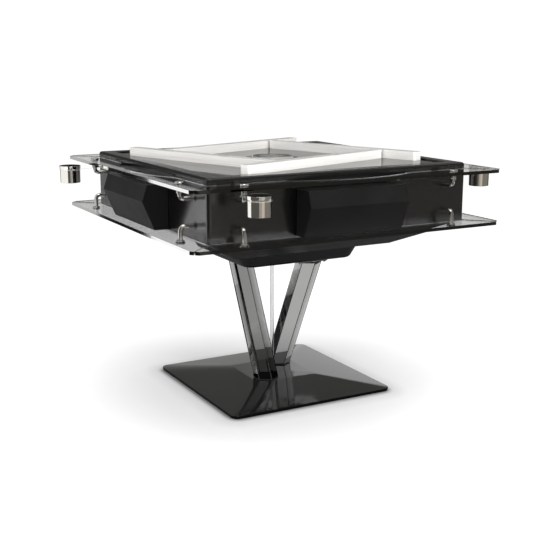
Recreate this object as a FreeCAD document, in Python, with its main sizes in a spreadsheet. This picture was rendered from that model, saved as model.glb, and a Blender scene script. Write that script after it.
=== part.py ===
import FreeCAD, Part
import math
import os
import re

import Sketcher

# Automatic mahjong table on a square base with two crossed crystal legs.
# Millimetres. The origin is on the floor under the middle of the table,
# X runs along the front side to the right, Y runs away and Z is up.

SIZES = {
    # Whole table
    "TableWidth": 880,
    "TableHeight": 764,
    "SideRound": 12,
    "Fit": 0.3,
    "RunFit": 0.05,
    "Overrun": 2,
    # Base
    "BaseWidth": 580,
    "BaseRound": 25,
    "BaseReveal": 2,
    "PadHeight": 3,
    "PadRadius": 20,
    "PadInset": 45,
    "UnderPlateThickness": 4,
    "BaseEdge": 6,
    "BaseRise": 25,
    "PlateauWidth": 213,
    "PlateauRound": 14,
    # Crystal legs and their plates
    "LegSide": 42,
    "LegFootAcross": 57,
    "LegFootBack": 62,
    "LegTopAcross": 52,
    "LegTopBack": 150,
    "FootPlateThickness": 2,
    "FootPlateInset": 1.5,
    "TopPlateThickness": 5,
    "TopPlateLength": 110,
    "TopPlateDepth": 60,
    "TopPlateRound": 6,
    "ScrewHeadRadius": 4.5,
    "ScrewHeadHeight": 4,
    "ScrewKeyRadius": 2,
    "ScrewKeyDepth": 2.5,
    "ScrewInset": 8.5,
    # Cable tube
    "TubeRadius": 6.5,
    "TubeThickness": 1.5,
    "TubeSeat": 6,
    # Lower tray and pan
    "TrayBottomWidth": 388,
    "TrayDepth": 54,
    "TrayDraft": 30,
    "TrayRound": 34,
    "TrayEdgeRound": 16,
    "SheetThickness": 3,
    "PanLedge": 55,
    "PanDepth": 78,
    "PanRound": 8,
    # Cabinet, rim and playing glass
    "CabinetHeight": 187,
    "CabinetThickness": 12,
    "RimHeight": 23,
    "RimWidth": 44,
    "LedgeWidth": 4.5,
    "RimRound": 8,
    "RimInnerRound": 1.5,
    "GlassThickness": 8,
    "GlassDrop": 4,
    # Tile walls, their rails and guides
    "WallWidth": 38,
    "WallShow": 27,
    "WallSunk": 3,
    "WallInset": 167,
    "WallEndGap": 9,
    "WallCornerGap": 9,
    "WallTravel": 45,
    "WallSlant": 19,
    "WallEndRound": 8,
    "SlotFit": 1,
    "RailHeight": 10,
    "RailThickness": 3,
    "PinInset": 60,
    "PinRadius": 6,
    "PinGap": 6,
    "SleeveThickness": 6,
    "SleeveGap": 12,
    "SleeveFlangeRadius": 20,
    "SleeveFlangeHeight": 5,
    # Glass shelves
    "ShelfReach": 82,
    "ShelfThickness": 10,
    "ShelfGap": 2,
    "MitreGap": 1.5,
    "ShelfDrop": 18,
    "ShelfUnder": 1,
    "ShelfCutUpper": 18,
    "ShelfCutLower": 19,
    "BowCentre": 11.5,
    "BowRadius": 455,
    "BowSagitta": 57,
    # Bent shelf rods and what clamps the glass
    "RodRadius": 6.5,
    "RodReach": 44,
    "RodBend": 13,
    "RodLeftInset": 89,
    "RodRightInset": 84,
    "UpperRodDrop": 43.5,
    "LowerRodRise": 40.5,
    "RodFit": 0.4,
    "CollarRadius": 9.5,
    "CollarHeight": 14,
    "WasherRadius": 12,
    "WasherThickness": 3,
    "CapRadius": 13.5,
    "CapHeight": 5,
    "CapEdge": 1.5,
    "FlangeRadius": 12,
    "FlangeHeight": 3,
    "RosetteRadius": 11,
    "RosetteThickness": 2,
    # Cups and their clear arms
    "CupReach": 130,
    "CupDrop": 16,
    "CupHeight": 56,
    "CupRadius": 33,
    "CupFootRadius": 32.8,
    "CupLipRadius": 34.6,
    "CupLipHeight": 11,
    "CupThickness": 1.6,
    "RingWidth": 2.5,
    "ArmThickness": 4,
    "ArmWidth": 12,
    "EyeFit": 1.7,
    "EyeWidth": 4.3,
    # Drawers
    "DrawerLeft": 163,
    "DrawerRight": 170.5,
    "DrawerDrop": 44,
    "DrawerFacet": 47,
    "DrawerRise": 9,
    "DrawerTopReach": 66,
    "DrawerRidgeReach": 82,
    "DrawerBottomReach": 45,
    "DrawerGap": 1,
    "DrawerEdge": 1.5,
    "DrawerTrayWidth": 300,
    "DrawerTrayLength": 165,
    "DrawerTrayDrop": 44.7,
    "DrawerTrayThickness": 3,
    "RunnerWidth": 8,
    "RunnerLip": 4,
    "RunnerLipHeight": 12,
    "RunnerLength": 150,
    # Inner floor, mixing bowl, turntable and its drive
    "ChassisThickness": 12,
    "ChassisInset": 35,
    "ArmBeamWidth": 64,
    "HubPlateRadius": 70,
    "BowlInset": 20,
    "BowlThickness": 3,
    "BowlClear": 3,
    "ColumnRadius": 20,
    "ColumnFlangeRadius": 34,
    "ColumnFlangeHeight": 4,
    "HubRadius": 32,
    "DiscHeight": 59,
    "DiscInset": 10,
    "DiscThickness": 6,
    "DiscRise": 24,
    "DiscRiseRadius": 60,
    "DrumInset": 55,
    "DrumThickness": 5,
    "DrumDepth": 24,
    "PaddleHeight": 12,
    "PaddleWidth": 10,
    "PaddleInset": 12,
    "PaddleGap": 23,
    "RollerRadius": 25,
    "RollerHeight": 18,
    "RollerEdge": 1.5,
    "ShaftRadius": 5,
    "ShaftSeat": 10,
    "MotorRadius": 30,
    "MotorHeight": 56,
    "MotorFlangeRadius": 36,
    "MotorFlangeHeight": 5,
    # Centre console
    "ConsoleHoleRadius": 80,
    "ConsoleFlangeRadius": 85,
    "ConsoleFlangeHeight": 2.5,
    "ConsoleDomeRadius": 67,
    "ConsoleDomeHeight": 7,
    "ConsoleDomeRound": 2,
    "ConsoleDepth": 19,
    "StemRadius": 15,
    "StemLift": 47,
    "DiceWellRadius": 42,
    "DiceWellDepth": 19,
    "WindowRadius": 58,
    "WindowThickness": 3,
    "DiceSide": 14,
    "DiceRound": 2,
    "DiceSpread": 12,
    "ButtonRadius": 5.5,
    "ButtonCircle": 74,
    "ButtonShow": 3.5,
    "ButtonSunk": 5,
    "ButtonTravel": 2,
    "ButtonEdge": 1,
    "ButtonTurn": 32,
    # Boxes that hold the electrics
    "ControlLength": 220,
    "ControlWidth": 130,
    "ControlHeight": 38,
    "ControlRound": 5,
    "InletWidth": 50,
    "InletDepth": 28,
    "InletDrop": 7,
    "InletMouthWidth": 27,
    "InletMouthDepth": 19,
    "InletMouthDrop": 5,
    "InletGap": 9,
}

SIDES = ["front", "right", "back", "left"]
CUTS_AND_PADS = ("PartDesign::Pad", "PartDesign::Pocket")
UPRIGHT = FreeCAD.Vector(0, 0, 1)
TOLERANCE = 1e-6

# Levels and places that several pieces share, each worked out from the named sizes.
PLINTH_LEVEL = "(PadHeight + UnderPlateThickness)"
SLOPE_LEVEL = f"({PLINTH_LEVEL} + BaseEdge)"
PLATEAU_LEVEL = f"({SLOPE_LEVEL} + BaseRise)"
CABINET_BOTTOM = "(TableHeight - CabinetHeight)"
PAN_BOTTOM = f"({CABINET_BOTTOM} - PanDepth)"
TRAY_BOTTOM = f"({PAN_BOTTOM} - TrayDepth)"
TRAY_REACH = "(TrayBottomWidth / 2 + TrayDepth * tan(TrayDraft))"
PAN_REACH = f"({TRAY_REACH} + PanLedge)"
INLET_BACK = f"({TRAY_REACH} + InletGap + InletDepth / 2)"
LEG_BOTTOM = f"({PLATEAU_LEVEL} + FootPlateThickness)"
LEG_TOP = f"({TRAY_BOTTOM} - TopPlateThickness)"
SIDE_FACE = "(TableWidth / 2)"
RIM_BOTTOM = "(TableHeight - RimHeight)"
GLASS_TOP = "(TableHeight - GlassDrop)"
GLASS_BOTTOM = f"({GLASS_TOP} - GlassThickness)"
CHASSIS_TOP = f"({CABINET_BOTTOM} + ChassisThickness)"
WALL_BOTTOM = f"({GLASS_TOP} - WallSunk)"
WALL_OUT = f"({SIDE_FACE} - WallInset)"
WALL_CORNER = f"({SIDE_FACE} - RimWidth - WallCornerGap)"
WALL_START = f"(({WALL_CORNER} - {WALL_OUT} * cos(WallSlant)) / sin(WallSlant))"
WALL_IN = f"({WALL_OUT} - WallWidth)"
WALL_END = f"({WALL_IN} - WallEndGap)"
RAIL_BOTTOM = f"({WALL_BOTTOM} - RailHeight)"
RAIL_SUNK = f"({RAIL_BOTTOM} - WallTravel)"
PIN_BOTTOM = f"({CHASSIS_TOP} + WallTravel + PinGap)"
ROD_OUT = f"({SIDE_FACE} + RodReach)"
ROD_LEFT = f"({SIDE_FACE} - RodLeftInset)"
ROD_RIGHT = f"({SIDE_FACE} - RodRightInset)"
DRAWER_TOP = "(TableHeight - DrawerDrop)"
DRAWER_RIDGE = f"({DRAWER_TOP} - DrawerFacet)"
DRAWER_BOTTOM = f"({CABINET_BOTTOM} + DrawerRise)"
DRAWER_CENTRE = "((DrawerRight - DrawerLeft) / 2)"
DRAWER_FRONT = f"({SIDE_FACE} + DrawerGap)"
TRAY_FLOOR = f"({CHASSIS_TOP} + RunnerLipHeight + Fit)"
TRAY_TOP = f"({DRAWER_TOP} - DrawerTrayDrop)"
UPPER_SHELF_TOP = "(TableHeight - ShelfDrop)"
LOWER_SHELF_TOP = f"({DRAWER_BOTTOM} - ShelfUnder)"
UPPER_SHELF_BOTTOM = f"({UPPER_SHELF_TOP} - ShelfThickness)"
LOWER_SHELF_BOTTOM = f"({LOWER_SHELF_TOP} - ShelfThickness)"
UPPER_ROD_LEVEL = f"({UPPER_SHELF_TOP} - UpperRodDrop)"
LOWER_ROD_LEVEL = f"({LOWER_SHELF_TOP} + LowerRodRise)"
WASHER_BOTTOM = f"({UPPER_SHELF_BOTTOM} - WasherThickness)"
COLLAR_BOTTOM = f"({WASHER_BOTTOM} - CollarHeight)"
CUP_TOP = f"({UPPER_SHELF_TOP} - CupDrop)"
CUP_BOTTOM = f"({CUP_TOP} - CupHeight)"
CUP_LIP_BOTTOM = f"({CUP_TOP} - CupLipHeight)"
CUP_OUT = f"({SIDE_FACE} + CupReach)"
CHASSIS_REACH = f"({WALL_IN} - ChassisInset)"
BOWL_RADIUS = f"({WALL_IN} - BowlInset)"
DISC_RADIUS = f"({BOWL_RADIUS} - DiscInset)"
DRUM_RADIUS = f"({DISC_RADIUS} - DrumInset)"
DISC_LEVEL = f"({CHASSIS_TOP} + DiscHeight)"
DISC_BOTTOM = f"({DISC_LEVEL} - DiscThickness)"
ROLLER_PLACE = f"({DRUM_RADIUS} + RollerRadius + Fit)"
CONSOLE_BOTTOM = f"({GLASS_TOP} - ConsoleDepth)"
CONSOLE_TOP = f"({GLASS_TOP} + ConsoleDomeHeight)"
WINDOW_TOP = f"({CONSOLE_TOP} - Fit)"
STEM_BOTTOM = f"({CHASSIS_TOP} + StemLift)"
COLUMN_TOP = f"({CONSOLE_BOTTOM} - Fit)"
HUB_BOTTOM = f"({CHASSIS_TOP} + ColumnFlangeHeight + Fit)"

doc = FreeCAD.newDocument("MahjongTable")


def fill_sheet():
    """Write every driving size into the spreadsheet under its own alias."""
    sheet = doc.addObject("Spreadsheet::Sheet", "Sizes")
    for row, (alias, value) in enumerate(SIZES.items(), start=1):
        sheet.set(f"A{row}", alias)
        sheet.set(f"B{row}", str(value))
        sheet.setAlias(f"B{row}", alias)
    doc.recompute()


def link(formula):
    """Point the capitalised size names of a formula at the spreadsheet."""
    return re.sub(r"\b([A-Z][A-Za-z]+)\b", r"Sizes.\1", formula)


def new_body(label, quarter=0):
    """A body for one sub-part, turned about the table's axis to its side."""
    body = doc.addObject("PartDesign::Body", label)
    body.Label = label
    body.AllowCompound = True
    turn = FreeCAD.Rotation(UPRIGHT, 90 * quarter)
    body.Placement = FreeCAD.Placement(FreeCAD.Vector(), turn)
    return body


def datum(body, role):
    """One of the body's own origin planes or axes."""
    return next(item for item in body.Origin.OriginFeatures if item.Role == role)


def sketch_on(body, plane="XY_Plane", out="0", across="0", up="0"):
    """A sketch on an origin plane, moved out along its normal and within it."""
    sketch = body.newObject("Sketcher::SketchObject", body.Label + "_sketch")
    sketch.AttachmentSupport = (datum(body, plane), [""])
    sketch.MapMode = "FlatFace"
    sketch.setExpression("AttachmentOffset.Base.x", link(across))
    sketch.setExpression("AttachmentOffset.Base.y", link(up))
    sketch.setExpression("AttachmentOffset.Base.z", link(out))
    return sketch


def hold(sketch, kind, places, formula, start=1.0):
    """Add one dimension, near the drawn outline where that helps, and bind it to its formula."""
    index = sketch.addConstraint(Sketcher.Constraint(kind, *places, start))
    sketch.setExpression(f"Constraints[{index}]", link(formula))


def polygon(sketch, points):
    """A closed outline of straight lines through points given as formulas."""
    count = len(points)
    ring = Part.makeCircle(1).discretize(count + 1)
    first = sketch.GeometryCount
    for index in range(count):
        sketch.addGeometry(Part.LineSegment(ring[index], ring[(index + 1) % count]))
    for index in range(count):
        after = first + (index + 1) % count
        sketch.addConstraint(Sketcher.Constraint("Coincident", first + index, 2, after, 1))
    for index, (across, up) in enumerate(points):
        hold(sketch, "DistanceX", (-1, 1, first + index, 1), across)
        hold(sketch, "DistanceY", (-1, 1, first + index, 1), up)
    return sketch


def rectangle(sketch, left, right, bottom, top):
    """A rectangle between four formulas."""
    return polygon(sketch, [(left, bottom), (right, bottom), (right, top), (left, top)])


def circle(sketch, radius, across="0", up="0"):
    """A circle about a centre given as formulas."""
    index = sketch.addGeometry(Part.Circle(FreeCAD.Vector(), UPRIGHT, 1))
    hold(sketch, "DistanceX", (-1, 1, index, 3), across)
    hold(sketch, "DistanceY", (-1, 1, index, 3), up)
    hold(sketch, "Radius", (index,), radius)
    return sketch


def rounded_square(sketch, width, radius):
    """A square about the sketch's origin with four tangent corner arcs.

    It starts as the outline of the base, and the constraints then bring it to its own size."""
    round_start = SIZES["BaseRound"]
    half = SIZES["BaseWidth"] / 2
    flat = half - round_start
    first = sketch.GeometryCount
    for quarter in range(4):
        turn = FreeCAD.Rotation(UPRIGHT, 90 * quarter)
        start = turn.multVec(FreeCAD.Vector(-flat, -half, 0))
        end = turn.multVec(FreeCAD.Vector(flat, -half, 0))
        centre = turn.multVec(FreeCAD.Vector(flat, -flat, 0))
        sketch.addGeometry(Part.LineSegment(start, end))
        corner = Part.Circle(centre, UPRIGHT, round_start)
        arc = Part.ArcOfCircle(corner, math.radians(90 * quarter - 90), math.radians(90 * quarter))
        sketch.addGeometry(arc)
    for quarter in range(4):
        side = first + 2 * quarter
        after = first + 2 * ((quarter + 1) % 4)
        sketch.addConstraint(Sketcher.Constraint("Tangent", side, 2, side + 1, 1))
        sketch.addConstraint(Sketcher.Constraint("Tangent", side + 1, 2, after, 1))
        level = ("Horizontal", "Vertical")[quarter % 2]
        sketch.addConstraint(Sketcher.Constraint(level, side))
        hold(sketch, "Radius", (side + 1,), radius, round_start)
    for quarter, (sign, start) in enumerate((("-", -half), ("", half), ("", half), ("-", -half))):
        kind = ("DistanceY", "DistanceX")[quarter % 2]
        hold(sketch, kind, (-1, 1, first + 2 * quarter, 1), f"{sign}({width}) / 2", start)
    return sketch


def feature(body, kind, sketch):
    """A PartDesign feature of the body made from one profile."""
    made = body.newObject("PartDesign::" + kind, f"{body.Label}_{kind}")
    made.Profile = sketch
    return made


def pad(body, sketch, length, both_ways=False, taper=None):
    """Extrude a profile along its normal, or half of the length each way."""
    made = feature(body, "Pad", sketch)
    made.setExpression("Length", link(length))
    if both_ways:
        made.SideType = "Symmetric"
    if taper:
        made.setExpression("TaperAngle", link(taper))
    doc.recompute()
    return made


def pocket(body, sketch, length, both_ways=False, upward=False, taper=None):
    """Cut a profile against its normal, or along it, and check that material went."""
    doc.recompute()
    before = body.Shape.Volume
    made = feature(body, "Pocket", sketch)
    made.setExpression("Length", link(length))
    made.Reversed = upward
    if both_ways:
        made.SideType = "Symmetric"
    if taper:
        made.setExpression("TaperAngle", link(taper))
    doc.recompute()
    if not body.Shape.Volume < before:
        raise RuntimeError(body.Label + ": a pocket cut nothing")
    return made


def revolve(body, sketch):
    """Turn a profile about its sketch's upright axis."""
    made = feature(body, "Revolution", sketch)
    made.ReferenceAxis = (sketch, ["V_Axis"])
    made.Angle = 360
    doc.recompute()
    return made


def loft(body, lower, upper, kind="AdditiveLoft"):
    """A ruled loft between two profiles."""
    made = feature(body, kind, lower)
    made.Sections = [upper]
    made.Ruled = True
    doc.recompute()
    return made


def around(body, features, count=4):
    """Repeat features about the table's axis."""
    made = body.newObject("PartDesign::PolarPattern", body.Label + "_pattern")
    made.Originals = features
    made.Axis = (datum(body, "Z_Axis"), [""])
    made.Angle = 360
    made.Occurrences = count
    body.Tip = made
    doc.recompute()
    return made


def soften(body, radius, wanted, kind="Fillet"):
    """Round, or bevel, the edges that the test picks from the body's last feature."""
    doc.recompute()
    base = body.Tip
    names = [f"Edge{index}" for index, edge in enumerate(base.Shape.Edges, start=1) if wanted(edge)]
    if not names:
        raise RuntimeError(body.Label + ": no edge to soften")
    made = body.newObject("PartDesign::" + kind, f"{body.Label}_{kind}")
    made.Base = (base, names)
    made.setExpression("Radius" if kind == "Fillet" else "Size", link(radius))
    doc.recompute()
    return made


def is_upright(edge):
    """True for an edge whose two ends lie at different levels."""
    box = edge.BoundBox
    return box.ZLength > box.XLength and box.ZLength > box.YLength


def at_level(body, top=True):
    """A test that picks the level edges of the body's highest, or lowest, face."""
    doc.recompute()
    box = body.Tip.Shape.BoundBox
    level = box.ZMax if top else box.ZMin
    return lambda edge: max(abs(edge.BoundBox.ZMin - level), abs(edge.BoundBox.ZMax - level)) < TOLERANCE


def foot_pads():
    """Four round rubber pads under the corners of the base."""
    body = new_body("foot_pads")
    place = "BaseWidth / 2 - PadInset"
    made = pad(body, circle(sketch_on(body), "PadRadius", place, place), "PadHeight")
    around(body, [made])


def base_under_plate():
    """The flat lower layer of the base, set back a little under the plinth."""
    body = new_body("base_under_plate")
    sketch = sketch_on(body, out="PadHeight")
    rounded_square(sketch, "BaseWidth - 2 * BaseReveal", "BaseRound - BaseReveal")
    pad(body, sketch, "UnderPlateThickness")


def base_plinth():
    """The cast cover: a square edge, four even slopes and a flat plateau with a tube seat."""
    body = new_body("base_plinth")
    edge = rounded_square(sketch_on(body, out=PLINTH_LEVEL), "BaseWidth", "BaseRound")
    pad(body, edge, "BaseEdge")
    lower = rounded_square(sketch_on(body, out=SLOPE_LEVEL), "BaseWidth", "BaseRound")
    upper = rounded_square(sketch_on(body, out=PLATEAU_LEVEL), "PlateauWidth", "PlateauRound")
    loft(body, lower, upper)
    seat = circle(sketch_on(body, out=PLATEAU_LEVEL), "TubeRadius + RunFit")
    pocket(body, seat, "TubeSeat")


def hexagon(sketch, side, across, back):
    """A regular hexagon with corners to the front and back, about a centre."""
    points = [(f"{across} + ({side}) * cos({angle})", f"{back} + ({side}) * sin({angle})")
              for angle in range(30, 390, 60)]
    return polygon(sketch, points)


def leg_foot_plates():
    """Two thin steel plates that the crystal legs stand on."""
    body = new_body("leg_foot_plates")
    sketch = sketch_on(body, out=PLATEAU_LEVEL)
    hexagon(sketch, "LegSide - FootPlateInset", "-LegFootAcross", "-LegFootBack")
    made = pad(body, sketch, "FootPlateThickness")
    around(body, [made], 2)


def crystal_leg(label, half_turn):
    """A leaning hexagonal prism between level cuts; the rear one is the front one's half turn."""
    body = new_body(label, 2 * half_turn)
    foot = hexagon(sketch_on(body, out=LEG_BOTTOM), "LegSide", "-LegFootAcross", "-LegFootBack")
    top = hexagon(sketch_on(body, out=LEG_TOP), "LegSide", "-LegTopAcross", "LegTopBack")
    loft(body, foot, top)


def leg_top_plates():
    """Two steel plates that hold the legs' tops, screwed up into the lower tray."""
    body = new_body("leg_top_plates")
    sketch = sketch_on(body, out=LEG_TOP)
    left = "-LegTopAcross - TopPlateLength / 2"
    right = "-LegTopAcross + TopPlateLength / 2"
    rectangle(sketch, left, right, "LegTopBack - TopPlateDepth / 2", "LegTopBack + TopPlateDepth / 2")
    pad(body, sketch, "TopPlateThickness")
    soften(body, "TopPlateRound", is_upright)
    around(body, body.Group[-2:], 2)


def leg_screws():
    """Eight socket head screws, four in each top plate."""
    body = new_body("leg_screws")
    heads = []
    for side in ("-", "+"):
        for end in ("-", "+"):
            across = f"-LegTopAcross {side} (TopPlateLength / 2 - ScrewInset)"
            back = f"LegTopBack {end} (TopPlateDepth / 2 - ScrewInset)"
            level = f"{LEG_TOP} - ScrewHeadHeight"
            sketch = circle(sketch_on(body, out=level), "ScrewHeadRadius", across, back)
            circle(sketch, "ScrewKeyRadius", across, back)
            heads.append(pad(body, sketch, "ScrewKeyDepth"))
            level = f"{LEG_TOP} - ScrewHeadHeight + ScrewKeyDepth"
            sketch = circle(sketch_on(body, out=level), "ScrewHeadRadius", across, back)
            heads.append(pad(body, sketch, "ScrewHeadHeight - ScrewKeyDepth"))
    around(body, heads, 2)


def cable_tube():
    """The clear upright tube between the legs, seated in the plinth and the tray's floor."""
    body = new_body("cable_tube")
    sketch = circle(sketch_on(body, out=f"{PLATEAU_LEVEL} - TubeSeat"), "TubeRadius")
    circle(sketch, "TubeRadius - TubeThickness")
    pad(body, sketch, f"{TRAY_BOTTOM} + SheetThickness - {PLATEAU_LEVEL} + TubeSeat")


def lower_tray():
    """The drafted tray under the pan, with wide corners and a soft lower edge."""
    body = new_body("lower_tray")
    outer = rounded_square(sketch_on(body, out=TRAY_BOTTOM), "TrayBottomWidth", "TrayRound")
    pad(body, outer, "TrayDepth", taper="TrayDraft")
    soften(body, "TrayEdgeRound", at_level(body, top=False))
    inner = sketch_on(body, out=f"{TRAY_BOTTOM} + SheetThickness")
    rounded_square(inner, "TrayBottomWidth - 2 * TrayEdgeRound", "TrayRound - TrayEdgeRound / 2")
    pocket(body, inner, "TrayDepth - SheetThickness", upward=True, taper="TrayDraft")
    seat = circle(sketch_on(body, out=f"{TRAY_BOTTOM} + SheetThickness"), "TubeRadius + RunFit")
    pocket(body, seat, "SheetThickness + Overrun")


def pan():
    """The sloping underside of the cabinet, a folded sheet shell with a floor."""
    body = new_body("pan")
    bottom = rounded_square(sketch_on(body, out=PAN_BOTTOM), f"2 * {PAN_REACH}", "PanRound")
    top = rounded_square(sketch_on(body, out=CABINET_BOTTOM), "TableWidth", "SideRound")
    loft(body, bottom, top)
    level = f"{PAN_BOTTOM} + SheetThickness"
    inner = f"2 * SheetThickness * ({SIDE_FACE} - {PAN_REACH}) / PanDepth"
    bottom = sketch_on(body, out=level)
    rounded_square(bottom, f"2 * {PAN_REACH} + {inner} - 4 * SheetThickness", "PanRound")
    top = sketch_on(body, out=CABINET_BOTTOM)
    rounded_square(top, "TableWidth - 4 * SheetThickness", "SideRound - SheetThickness")
    loft(body, bottom, top, "SubtractiveLoft")


def cabinet_shell():
    """The four walls, with a window behind each drawer front."""
    body = new_body("cabinet_shell")
    sketch = rounded_square(sketch_on(body, out=CABINET_BOTTOM), "TableWidth", "SideRound")
    pad(body, sketch, f"{RIM_BOTTOM} - {CABINET_BOTTOM}")
    inner = sketch_on(body, out=RIM_BOTTOM)
    rectangle(inner, *inner_square("TableWidth / 2 - CabinetThickness"))
    pocket(body, inner, f"{RIM_BOTTOM} - {CABINET_BOTTOM}")
    window = sketch_on(body, "XZ_Plane", out=f"{SIDE_FACE} - CabinetThickness / 2")
    half = "DrawerTrayWidth / 2 + RunnerLip + Fit"
    rectangle(window, f"{DRAWER_CENTRE} - ({half})", f"{DRAWER_CENTRE} + {half}",
              CHASSIS_TOP, f"{TRAY_TOP} + 10 * Fit")
    cut = pocket(body, window, "CabinetThickness + 2 * Overrun", both_ways=True)
    around(body, [cut])


def inner_square(half):
    """The four formulas of a square about the axis."""
    return f"-({half})", half, f"-({half})", half


def rim_frame():
    """The soft-edged frame round the playing surface, with a ledge for the glass."""
    body = new_body("rim_frame")
    sketch = rounded_square(sketch_on(body, out=RIM_BOTTOM), "TableWidth", "SideRound")
    pad(body, sketch, "RimHeight")
    well = sketch_on(body, out="TableHeight")
    rectangle(well, *inner_square("TableWidth / 2 - RimWidth"))
    pocket(body, well, f"TableHeight - {GLASS_BOTTOM}")
    opening = sketch_on(body, out=GLASS_BOTTOM)
    rectangle(opening, *inner_square("TableWidth / 2 - RimWidth - LedgeWidth"))
    pocket(body, opening, f"{GLASS_BOTTOM} - {RIM_BOTTOM}")
    reach = SIZES["TableWidth"] / 2 - SIZES["RimWidth"]
    on_top = at_level(body)
    soften(body, "RimRound", lambda edge: on_top(edge) and not lies_within(edge, reach))
    on_top = at_level(body)
    soften(body, "RimInnerRound", lambda edge: on_top(edge) and lies_within(edge, reach))


def lies_within(edge, reach):
    """True when the whole edge is inside the square of that half width."""
    box = edge.BoundBox
    farthest = max(abs(box.XMin), abs(box.XMax), abs(box.YMin), abs(box.YMax))
    return farthest < reach + SIZES["Fit"]


def slanted(sketch):
    """Turn a sketch about the table's axis by the slant of the tile walls."""
    offset = sketch.AttachmentOffset
    offset.Rotation = FreeCAD.Rotation(UPRIGHT, SIZES["WallSlant"])
    sketch.AttachmentOffset = offset
    sketch.setExpression("AttachmentOffset.Rotation.Angle", link("WallSlant"))
    return sketch


def playing_glass():
    """The black glass top with a slot for each tile wall and a hole for the console."""
    body = new_body("playing_glass")
    sheet = sketch_on(body, out=GLASS_BOTTOM)
    rectangle(sheet, *inner_square("TableWidth / 2 - RimWidth - Fit"))
    pad(body, sheet, "GlassThickness")
    hole = circle(sketch_on(body, out=GLASS_TOP), "ConsoleHoleRadius")
    pocket(body, hole, "GlassThickness")
    slot = slanted(sketch_on(body, out=GLASS_TOP))
    rectangle(slot, f"-{WALL_START} - SlotFit", f"{WALL_END} + SlotFit",
              f"-{WALL_OUT} - SlotFit", f"-{WALL_IN} + SlotFit")
    cut = pocket(body, slot, "GlassThickness")
    around(body, [cut])


def slant_body(body, quarter):
    """Turn a body by the slant of the tile walls and to its side."""
    turn = FreeCAD.Rotation(UPRIGHT, SIZES["WallSlant"] + 90 * quarter)
    body.Placement = FreeCAD.Placement(FreeCAD.Vector(), turn)
    body.setExpression("Placement.Rotation.Angle", f"{link('WallSlant')} + {90 * quarter}")
    return body


def tile_wall(side, quarter):
    """One white wall of tiles, rounded at its free end."""
    body = slant_body(new_body("tile_wall_" + side), quarter)
    sketch = sketch_on(body, out=WALL_BOTTOM)
    rectangle(sketch, f"-{WALL_START}", WALL_END, f"-{WALL_OUT}", f"-{WALL_IN}")
    pad(body, sketch, "WallShow + WallSunk")
    soften(body, "WallEndRound", lambda edge: is_upright(edge) and edge.BoundBox.XMin < 0)


def lift_rail(side, quarter):
    """The channel that carries a tile wall, with its two guide pins."""
    body = slant_body(new_body("lift_rail_" + side), quarter)
    inset = "(SlotFit + Fit)"
    near = f"({WALL_OUT} - {inset})"
    far = f"({WALL_IN} + {inset})"
    section = sketch_on(body, "YZ_Plane", out=f"-{WALL_START} + {inset}")
    polygon(section, [
        (f"-{near}", RAIL_BOTTOM),
        (f"-{near} + RailThickness", RAIL_BOTTOM),
        (f"-{near} + RailThickness", f"{WALL_BOTTOM} - RailThickness"),
        (f"-{far} - RailThickness", f"{WALL_BOTTOM} - RailThickness"),
        (f"-{far} - RailThickness", RAIL_BOTTOM),
        (f"-{far}", RAIL_BOTTOM),
        (f"-{far}", WALL_BOTTOM),
        (f"-{near}", WALL_BOTTOM),
    ])
    pad(body, section, f"{WALL_START} + {WALL_END} - 2 * {inset}")
    for across in (f"-{WALL_START} + PinInset", f"{WALL_END} - PinInset"):
        pin = sketch_on(body, out=PIN_BOTTOM)
        circle(pin, "PinRadius", across, f"-({near} + {far}) / 2")
        pad(body, pin, f"{WALL_BOTTOM} - RailThickness - {PIN_BOTTOM}")


def lift_guides():
    """Eight flanged sleeves on the chassis that the guide pins slide in."""
    body = new_body("lift_guides")
    sleeve = f"{RAIL_SUNK} - SleeveGap - {CHASSIS_TOP}"
    made = []
    for across in (f"-{WALL_START} + PinInset", f"{WALL_END} - PinInset"):
        along = f"-({WALL_OUT} + {WALL_IN}) / 2"
        for radius, height in (("SleeveFlangeRadius", "SleeveFlangeHeight"),
                               ("PinRadius + RunFit + SleeveThickness", sleeve)):
            sketch = slanted(sketch_on(body, out=CHASSIS_TOP))
            circle(sketch, radius, across, along)
            circle(sketch, "PinRadius + RunFit", across, along)
            made.append(pad(body, sketch, height))
    around(body, made)


def chassis():
    """The inner floor: a square plate with a square hole and a cross that carries the column."""
    body = new_body("chassis")
    plate = sketch_on(body, out=CABINET_BOTTOM)
    rectangle(plate, *inner_square("TableWidth / 2 - CabinetThickness"))
    rectangle(plate, *inner_square(CHASSIS_REACH))
    pad(body, plate, "ChassisThickness")
    half = f"{CHASSIS_REACH} + Overrun"
    arm = sketch_on(body, out=CABINET_BOTTOM)
    rectangle(arm, f"-({half})", half, "-ArmBeamWidth / 2", "ArmBeamWidth / 2")
    pad(body, arm, "ChassisThickness")
    arm = sketch_on(body, out=CABINET_BOTTOM)
    rectangle(arm, "-ArmBeamWidth / 2", "ArmBeamWidth / 2", f"-({half})", half)
    pad(body, arm, "ChassisThickness")
    hub = circle(sketch_on(body, out=CABINET_BOTTOM), "HubPlateRadius")
    pad(body, hub, "ChassisThickness")
    holes = circle(sketch_on(body, out=CHASSIS_TOP), "ShaftRadius + 2 * Fit", ROLLER_PLACE)
    pocket(body, holes, "ChassisThickness")


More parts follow.
